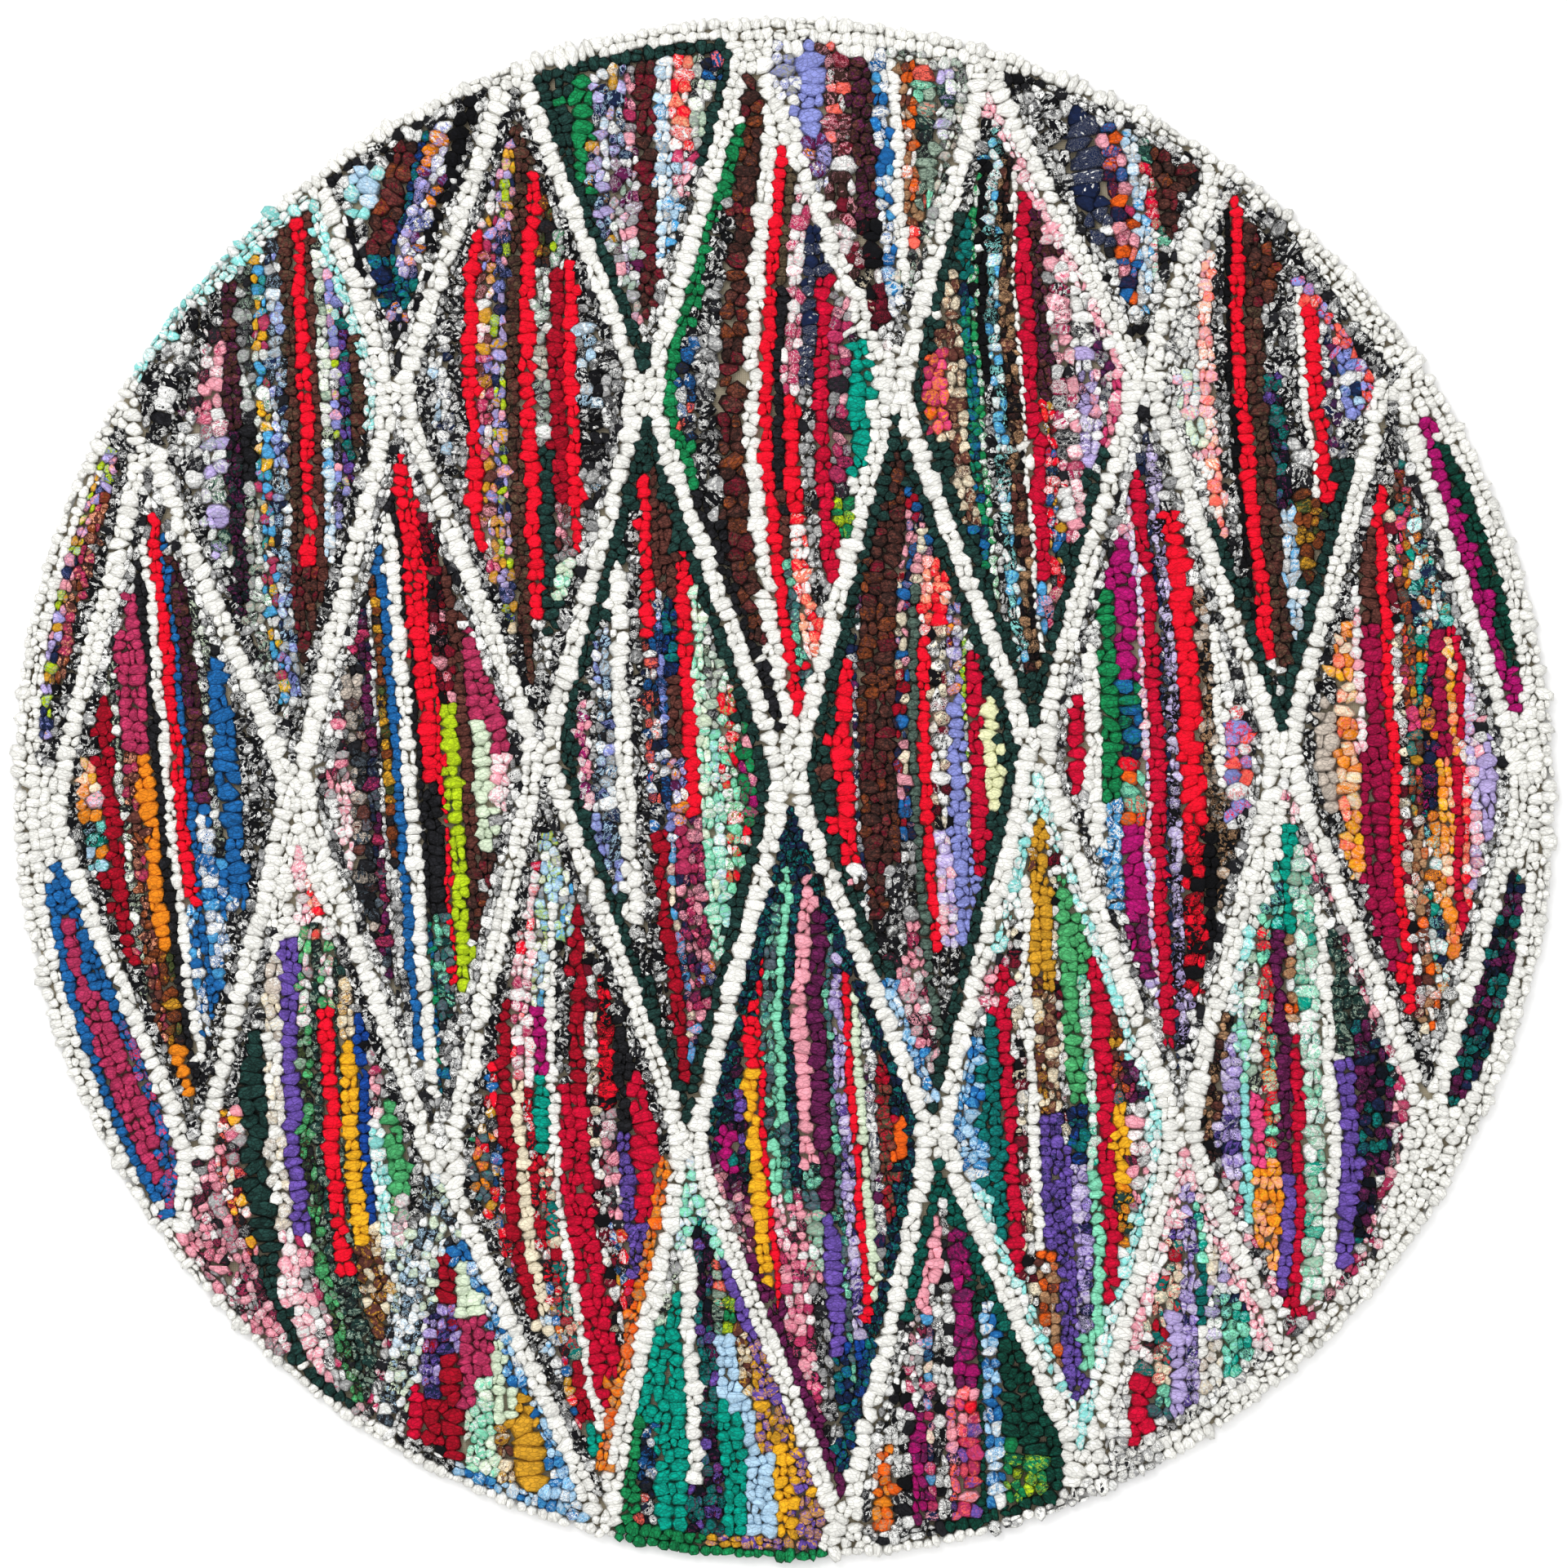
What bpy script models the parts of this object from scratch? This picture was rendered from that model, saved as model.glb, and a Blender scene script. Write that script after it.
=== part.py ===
"""Round hand-tufted rug of cut rag strips, lying flat.

One solid: a flat round slab whose face is raised in rows of loops. Two rings of loops run round the rim,
straight rows cross in a trellis of tall diamonds, a row follows the inside of each diamond, and rows nearly
parallel to the diamond's long axis fill what is left.
"""

import math

import bpy
import numpy as np
from mathutils.geometry import delaunay_2d_cdt

# Driving dimensions, in metres
RUG_DIAMETER = 1.220
OVAL_REACH = 0.0030  # radius gained along the long axis and lost along the short one
OVAL_LONG_AXIS = math.radians(135)
CREST_TOP = 0.0118  # top of a row of loops
TRELLIS_TOP = 0.0123  # the trellis stands a little fuller
VALLEY_TOP = 0.0094  # between two rows
CREST_LUMP = 0.0006  # how far a point of a crest strays up or down
VALLEY_LUMP = 0.0003
RIM_LUMP = 0.0012  # how far a point of the rim strays in or out

ROW_PITCH = 0.0130  # from one row of loops to the next inside a diamond
TRELLIS_HALF = 0.0090  # half the width of a trellis row
OUTLINE_OFF = 0.0143  # from a trellis row's middle to that of the row along it
FIELD_OFF = 0.0200  # from a trellis row's middle to the valley that ends the field rows
ROW_CLEAR = 0.0035  # the ends of the field rows stop this far short of that valley
NARROWING = 0.22  # share by which the field rows draw together at a diamond's two points
POINT_STEP = 0.045  # along a row
FINE_STEP = 0.002  # steps in which a row is followed before its points are chosen
SHORTEST_ROW = 0.010
EXACT = 1e-6
RIM_POINTS = 180

# The rim from the underside outwards and back over the two border rings
RIM_RINGS = (
    # name, inset from the rim, height, lump
    ("underside", 0.0040, 0.0, 0.0),
    ("widest", 0.0, 0.0052, 0.0),
    ("outer crest", 0.0062, CREST_TOP, CREST_LUMP),
    ("ring valley", 0.0130, VALLEY_TOP, VALLEY_LUMP),
    ("inner crest", 0.0198, CREST_TOP, CREST_LUMP),
    ("field edge", 0.0266, VALLEY_TOP, VALLEY_LUMP),
)

# The trellis, top row of crossings first. Rows and crossings past the rim only give lines their direction.
TRELLIS_ROWS = (
    # name, x of the first crossing, pitch, y of each crossing from left to right
    ("above", -0.690, 0.1900, (0.87, 0.87, 0.87, 0.87, 0.87, 0.87, 0.87, 0.87)),
    ("crown", -0.587, 0.1870, (0.520, 0.568, 0.570, 0.586, 0.561, 0.495, 0.460, 0.460)),
    ("upper", -0.701, 0.1970, (0.260, 0.268, 0.311, 0.313, 0.314, 0.331, 0.325, 0.320)),
    ("middle", -0.777, 0.1952, (-0.020, -0.021, 0.003, 0.029, 0.005, 0.031, 0.026, 0.0, 0.0)),
    ("lower", -0.660, 0.1950, (-0.290, -0.295, -0.306, -0.282, -0.274, -0.271, -0.250, -0.250)),
    ("foot", -0.525, 0.1905, (-0.570, -0.575, -0.576, -0.580, -0.534, -0.507, -0.500)),
    ("below", -0.430, 0.1900, (-0.86, -0.86, -0.86, -0.86, -0.86, -0.86)),
)

random = np.random.default_rng(41)


def rim_radius(angle):
    """Radius of the rug at an angle: a circle, drawn out a little along one diagonal."""
    return RUG_DIAMETER / 2 + OVAL_REACH * np.cos(2 * (angle - OVAL_LONG_AXIS))


def depth_inside(points):
    """How far each point lies in from the rim."""
    return rim_radius(np.arctan2(points[:, 1], points[:, 0])) - np.hypot(points[:, 0], points[:, 1])


def crossings():
    """The crossings of each trellis row, as an array of points from left to right."""
    return [
        np.column_stack([first + pitch * np.arange(len(heights)), heights])
        for _, first, pitch, heights in TRELLIS_ROWS
    ]


def diamonds(rows):
    """Each diamond as its top, left, right and bottom crossings: left and right are neighbours in one row, and
    top and bottom are the crossings between them in the rows above and below."""
    found = []
    for above, row, below in zip(rows, rows[1:], rows[2:]):
        for left, right in zip(row, row[1:]):
            tops = above[(above[:, 0] > left[0]) & (above[:, 0] < right[0])]
            bottoms = below[(below[:, 0] > left[0]) & (below[:, 0] < right[0])]
            if len(tops) == 1 and len(bottoms) == 1:
                found.append((tops[0], left, right, bottoms[0]))
    return found


def sides(cell):
    """The four straight sides of a diamond, each with the unit vector that points into it."""
    top, left, right, bottom = cell
    found = []
    for start, end in ((top, left), (top, right), (left, bottom), (right, bottom)):
        along = (end - start) / np.linalg.norm(end - start)
        inward = np.array([-along[1], along[0]])
        found.append((start, end, inward * np.sign(inward @ ((left + right) / 2 - start))))
    return found


def depth_in(points, cell):
    """How far each point lies inside a diamond, from the nearest of its sides; less than 0 outside."""
    return np.min([(points - start) @ inward for start, _, inward in sides(cell)], axis=0)


def straight(start, end):
    """Points at fine steps from start to end."""
    steps = max(2, math.ceil(np.linalg.norm(end - start) / FINE_STEP))
    return start + np.linspace(0, 1, steps)[:, None] * (end - start)


def stretches(points, wanted):
    """The parts of a line whose points are all wanted, each thinned to about one point per POINT_STEP."""
    runs = np.split(np.arange(len(points)), np.nonzero(np.diff(wanted.astype(int)))[0] + 1)
    found = []
    for run in runs:
        length = FINE_STEP * (len(run) - 1)
        if not wanted[run[0]] or length < SHORTEST_ROW:
            continue
        chosen = np.linspace(0, len(run) - 1, max(2, round(length / POINT_STEP) + 1))
        found.append(points[run[np.round(chosen).astype(int)]])
    return found


class Relief:
    """The points and the row lines of the face, with a height for each point."""

    def __init__(self):
        self.points, self.heights, self.edges, self.known = [], [], [], {}

    def point(self, place, height, lump):
        key = (round(float(place[0]), 5), round(float(place[1]), 5))
        if key not in self.known:
            self.known[key] = len(self.points)
            self.points.append(key)
            self.heights.append(height + lump * random.uniform(-1, 1))
        return self.known[key]

    def line(self, places, height, lump, closed=False):
        found = [self.point(place, height, lump) for place in places]
        ends = zip(found, found[1:] + found[:1]) if closed else zip(found, found[1:])
        self.edges.extend((a, b) for a, b in ends if a != b)
        return found


def add_trellis(relief, cells, reach):
    """Each trellis row's crest, and inside each diamond the valley beside it, the row along it and the next
    valley."""
    courses = (
        # distance from the trellis row, height, lump
        (0.0, TRELLIS_TOP, CREST_LUMP),
        (TRELLIS_HALF, VALLEY_TOP, VALLEY_LUMP),
        (OUTLINE_OFF, CREST_TOP, CREST_LUMP),
        (FIELD_OFF, VALLEY_TOP, VALLEY_LUMP),
    )
    for cell in cells:
        for start, end, inward in sides(cell):
            for off, height, lump in courses:
                path = straight(start, end) + off * inward
                wanted = (depth_in(path, cell) > off - EXACT) & (depth_inside(path) > reach)
                for stretch in stretches(path, wanted):
                    relief.line(stretch, height, lump)


def add_field(relief, cells, reach):
    """The rows that fill each diamond: side by side along the axis from its bottom point to its top one, and
    drawn together a little towards both points."""
    for cell in cells:
        top, left, right, bottom = cell
        share = np.linspace(0, 1, math.ceil((top[1] - bottom[1]) / FINE_STEP))
        axis = bottom + share[:, None] * (top - bottom)
        spread = 1 - NARROWING * (2 * share - 1) ** 2
        halves = round((right[0] - left[0]) / ROW_PITCH)
        for half in range(-halves, halves + 1):
            path = axis + np.column_stack([half * ROW_PITCH / 2 * spread, np.zeros(len(share))])
            wanted = (depth_in(path, cell) > FIELD_OFF + ROW_CLEAR) & (depth_inside(path) > reach)
            crest = half % 2 == 0
            for stretch in stretches(path, wanted):
                relief.line(
                    stretch,
                    CREST_TOP if crest else VALLEY_TOP,
                    CREST_LUMP if crest else VALLEY_LUMP,
                )


def rim_ring(inset, height, lump):
    """One ring of points round the rim, unevenly in and out at its widest."""
    angle = 2 * math.pi * np.arange(RIM_POINTS) / RIM_POINTS
    radius = rim_radius(angle) - inset
    if inset == 0:
        radius = radius - RIM_LUMP * random.uniform(0, 1, RIM_POINTS)
    level = height + lump * random.uniform(-1, 1, RIM_POINTS)
    return np.column_stack([radius * np.cos(angle), radius * np.sin(angle), level])


def rug_mesh():
    """Points and faces of the closed solid."""
    rings = [rim_ring(inset, height, lump) for _, inset, height, lump in RIM_RINGS]
    edge = rings[-1]
    relief = Relief()
    relief.line(edge[:, :2], VALLEY_TOP, VALLEY_LUMP, closed=True)
    cells = diamonds(crossings())
    reach = RIM_RINGS[-1][1] + ROW_PITCH / 2
    add_trellis(relief, cells, reach)
    add_field(relief, cells, reach)

    flat, _, triangles, sources, _, _ = delaunay_2d_cdt(relief.points, relief.edges, [], 0, 1e-6)
    levels = [relief.heights[source[0]] if source else VALLEY_TOP for source in sources]
    face = [(*place, level) for place, level in zip(flat, levels)]

    rim_of = {}
    for number, source in enumerate(sources):
        for origin in source:
            if origin < RIM_POINTS:
                rim_of[origin] = number
    points = list(face)
    faces = [tuple(triangle) for triangle in triangles]
    courses = [[rim_of[number] for number in range(RIM_POINTS)]]
    for ring in reversed(rings[:-1]):
        courses.append(list(range(len(points), len(points) + RIM_POINTS)))
        points.extend(map(tuple, ring))
    for inner, outer in zip(courses, courses[1:]):
        for here in range(RIM_POINTS):
            there = (here + 1) % RIM_POINTS
            faces.append((inner[here], outer[here], outer[there]))
            faces.append((inner[here], outer[there], inner[there]))
    faces.append(tuple(reversed(courses[-1])))
    return points, faces


def main():
    for thing in list(bpy.data.objects):
        bpy.data.objects.remove(thing, do_unlink=True)

    rag_loops = bpy.data.materials.new("rag loops")
    rag_loops.use_nodes = True
    finish = rag_loops.node_tree.nodes["Principled BSDF"]
    finish.inputs["Base Color"].default_value = (0.42, 0.34, 0.33, 1)
    finish.inputs["Roughness"].default_value = 0.9
    finish.inputs["Metallic"].default_value = 0.0

    points, faces = rug_mesh()
    points = np.array(points)
    points[:, :2] -= (points[:, :2].min(axis=0) + points[:, :2].max(axis=0)) / 2
    mesh = bpy.data.meshes.new("rug")
    mesh.from_pydata(points, [], faces)
    mesh.materials.append(rag_loops)
    mesh.shade_smooth()
    rug = bpy.data.objects.new("rug", mesh)
    bpy.context.collection.objects.link(rug)


main()
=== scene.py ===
"""Looks of the round rag-loop rug: a canvas ground cloth and the loops of cut cotton rag punched through it.

The loops are laid as they are punched, row after row. Rings of loops run round the rim, ivory rows cross in a
trellis of tall diamonds, a row of one cloth follows the inside of each diamond, and rows that run nearly
parallel to the diamond's long axis fill it, each from its own rags.
"""

import math

import bpy
import numpy as np
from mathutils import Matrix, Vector


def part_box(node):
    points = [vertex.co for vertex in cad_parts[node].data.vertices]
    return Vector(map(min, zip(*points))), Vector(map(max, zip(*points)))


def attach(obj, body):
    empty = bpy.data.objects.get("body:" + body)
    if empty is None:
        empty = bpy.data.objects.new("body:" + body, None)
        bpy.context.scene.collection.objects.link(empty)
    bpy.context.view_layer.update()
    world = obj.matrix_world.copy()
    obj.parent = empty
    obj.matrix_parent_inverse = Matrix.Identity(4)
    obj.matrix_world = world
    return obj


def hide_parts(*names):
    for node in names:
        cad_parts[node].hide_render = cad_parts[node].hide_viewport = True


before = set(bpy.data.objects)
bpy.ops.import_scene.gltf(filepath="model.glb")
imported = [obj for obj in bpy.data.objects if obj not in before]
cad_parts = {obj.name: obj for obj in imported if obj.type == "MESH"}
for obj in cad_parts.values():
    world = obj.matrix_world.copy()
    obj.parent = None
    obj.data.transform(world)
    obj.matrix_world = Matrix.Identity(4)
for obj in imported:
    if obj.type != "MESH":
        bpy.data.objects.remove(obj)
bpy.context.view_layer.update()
RUG_LOW, RUG_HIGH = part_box("rug")

MM = 0.001
RIM = (RUG_HIGH[0] - RUG_LOW[0] + RUG_HIGH[1] - RUG_LOW[1]) / 4
OVAL_REACH = 0.0030  # radius gained along the long axis and lost along the short one
OVAL_LONG_AXIS = math.radians(135)

# Ground cloth and pile
CANVAS_THICK = 0.0024
CANVAS_INSET = 0.0060  # the loops at the rim hide the edge of the canvas
CANVAS_THREAD = 0.0016
PILE_BASE = 0.0022  # where a loop comes up out of the canvas
PILE_RISE = 0.0094  # from there to the top of a loop
RIM_BASE = 0.0009  # the rim's own loops lie lower, over the canvas edge
CANVAS_SIDES = 160  # points round the rim
CANVAS_RINGS = 14  # and from the middle of each face to the rim
CANVAS_DARK = "8F836C"  # hexadecimal red, green and blue, as the dyes below
CANVAS_LIGHT = "D8CDB4"

# Rows
LOOP_PITCH = 0.0088  # along a row
PITCH_LESS = 0.0014  # a row's loops are this much shorter than that,
PITCH_GAIN = 0.15  # and longer by this share of the row's width
STEPS = (0.8, 1.2)  # the shortest and the longest loop of a row, in its own pitches
FINE_STEP = 0.002  # between the points of a path
SHORTEST = 3  # a row of fewer such points isn't laid

# Border
TWO_RINGS = 0.0142  # where the border is wider than this it has two rings of loops

# Trellis
TRELLIS_HALF = 0.0078  # half the width of a trellis row
TRELLIS_FULL = 0.95  # share of that width that its wide loops take up
TRELLIS_LEAST = 4  # a part of a trellis row of fewer points isn't laid
DOUBLED = (0.45, 0.55)  # shares of trellis rows without and with a stretch of two rows of small loops
DOUBLED_LEAST = 15  # such a stretch has at least so many points
CROSSING_REACH = 0.16  # two crossings further apart from side to side than this aren't joined
KISS = 0.0085  # at a crossing two trellis rows pass side by side, this far off its middle
BEND = 0.33  # how slowly a trellis row comes back to its straight line
END_GAP = 0.3  # a row that runs up against another ends this share of its own loops before it

# Outlines of the diamonds
OUTLINE = 0.0090  # width of the row inside the trellis
TWO_OUTLINES = 1.6  # a diamond wider than this many outlines has one on each side
ONE_OUTLINE = 0.5  # and one narrower than this many has none
OUTLINE_AT_RIM = 0.7  # an outline ends this many of its widths before the border

# Fields of the diamonds
COLUMNS = 12  # widths of rows in the tables below are twelfths of a diamond's field
NARROWING = 0.22  # share by which the field rows draw together at a diamond's two points
WANDER = 0.0016  # a row drifts this far off its line, and its width swells by this share
SWELL = 0.16
WAVES = (0.05, 0.14)  # shortest and longest wave of that drift
SQUEEZE = 0.45  # share of its width that a row keeps where the trellis cuts into it
CHANGE_SPREAD = 0.012  # a loop this near to a change of cloth, as a share of the height, may be of either

# Camera and light
CAMERA_HEIGHT = 6.0
VIEW_WIDTH = 1.2413  # what the camera takes in at the floor, from side to side
VIEW_MIDDLE = (-0.0003, 0.0038)  # the point of the floor below the camera
FLOOR_GAP = 0.0002  # the floor lies this far below the rug
SKY = 1.10
LAMP_POWER = 36.0
LAMP_SIZE = 1.6
LAMP_PLACE = (-1.1, 1.5, 2.6)
FLOOR_HALF = 4.0
FLOOR_WHITE = (0.96, 0.96, 0.96, 1)

# The trellis, top row of crossings first. Rows and crossings past the rim only give lines their direction.
TRELLIS_ROWS = (
    # name, x of the first crossing, pitch, y of each crossing from left to right
    ("above", -0.690, 0.1900, (0.87, 0.87, 0.87, 0.87, 0.87, 0.87, 0.87, 0.87)),
    ("crown", -0.587, 0.1870, (0.520, 0.568, 0.570, 0.586, 0.561, 0.495, 0.460, 0.460)),
    ("upper", -0.701, 0.1970, (0.260, 0.268, 0.311, 0.313, 0.314, 0.331, 0.325, 0.320)),
    ("middle", -0.777, 0.1952, (-0.020, -0.021, 0.003, 0.029, 0.005, 0.031, 0.026, 0.0, 0.0)),
    ("lower", -0.660, 0.1950, (-0.290, -0.295, -0.306, -0.282, -0.274, -0.271, -0.250, -0.250)),
    ("foot", -0.525, 0.1905, (-0.570, -0.575, -0.576, -0.580, -0.534, -0.507, -0.500)),
    ("below", -0.430, 0.1900, (-0.86, -0.86, -0.86, -0.86, -0.86, -0.86)),
)

# Trellis rows that aren't ivory
OTHER_TRELLIS = {
    # row of crossings, number of the crossing, side to which the row goes down from it
    ("crown", 1, "left"): "darksalt",
    ("crown", 5, "right"): "salt",
    ("lower", 1, "right"): "rosydark",
    ("lower", 2, "left"): "skysalt",
}

# The ivory border: its width at angles counted from +x towards +y
BORDER = (
    # degrees, millimetres
    (-180, 21), (-160, 18), (-148, 11), (-135, 8), (-120, 7), (-105, 7), (-90, 8), (-75, 8),
    (-68, 10), (-60, 18), (-45, 20), (-30, 18), (-15, 17), (0, 22), (15, 18), (30, 16), (40, 10),
    (50, 10), (68, 11), (75, 16), (90, 18), (95, 16), (105, 14), (115, 10), (130, 9), (145, 9),
    (155, 14), (170, 18), (180, 21),
)  # fmt: skip

# Parts of the border that aren't ivory
BORDER_CLOTHS = (
    # from and to, in degrees, cloth
    (-103, -87, "kelly"),
    (131, 148, "aquawhite"),
    (-74, -60, "palesalt"),
)

# Dyes, as hexadecimal red, green and blue
DYES = {
    "white": "F3F3F0", "ivory": "F2F1EB", "cream": "EFE2C6", "palegreen": "D9E8CC", "paleyellow": "EEF0BE",
    "grey": "A3A3A3", "coal": "222226", "black": "0E0E12", "slate": "5A6670", "taupe": "C4B7AA",
    "tan": "B28A66", "brown": "623730", "darkbrown": "3D2723", "rust": "8A4522", "olive": "584A38",
    "moss": "4C5A2E", "pine": "20403B", "kelly": "178A50", "green": "4FB06E", "mint": "86DDB8",
    "sage": "9DB3A0", "teal": "00A08A", "deepteal": "0C7670", "aqua": "93E3DE", "sky": "B5D6EE",
    "lightblue": "4FA3D8", "denim": "1F66A8", "blue": "1848A0", "navy": "182445", "ink": "0C131F",
    "peri": "8C93D6", "lavender": "B9A9DC", "lilac": "D6CCE6", "purple": "6E52AC", "plum": "681E50",
    "magenta": "B3126E", "raspberry": "BC3560", "hotpink": "EE4A86", "pink": "F4A4B2", "peach": "FFB08C",
    "coral": "FF6A5A", "red": "F40F2B", "crimson": "CE0A34", "darkred": "A80A24", "wine": "78152A",
    "orange": "F08A1E", "tangerine": "F46418", "mustard": "D29A2A", "yellow": "F5B424", "lime": "B8D41E",
    "slatepine": "55695F", "tealpine": "0A5C50", "pinegreen": "0D4638", "garnet": "A60F45",
}  # fmt: skip

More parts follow.
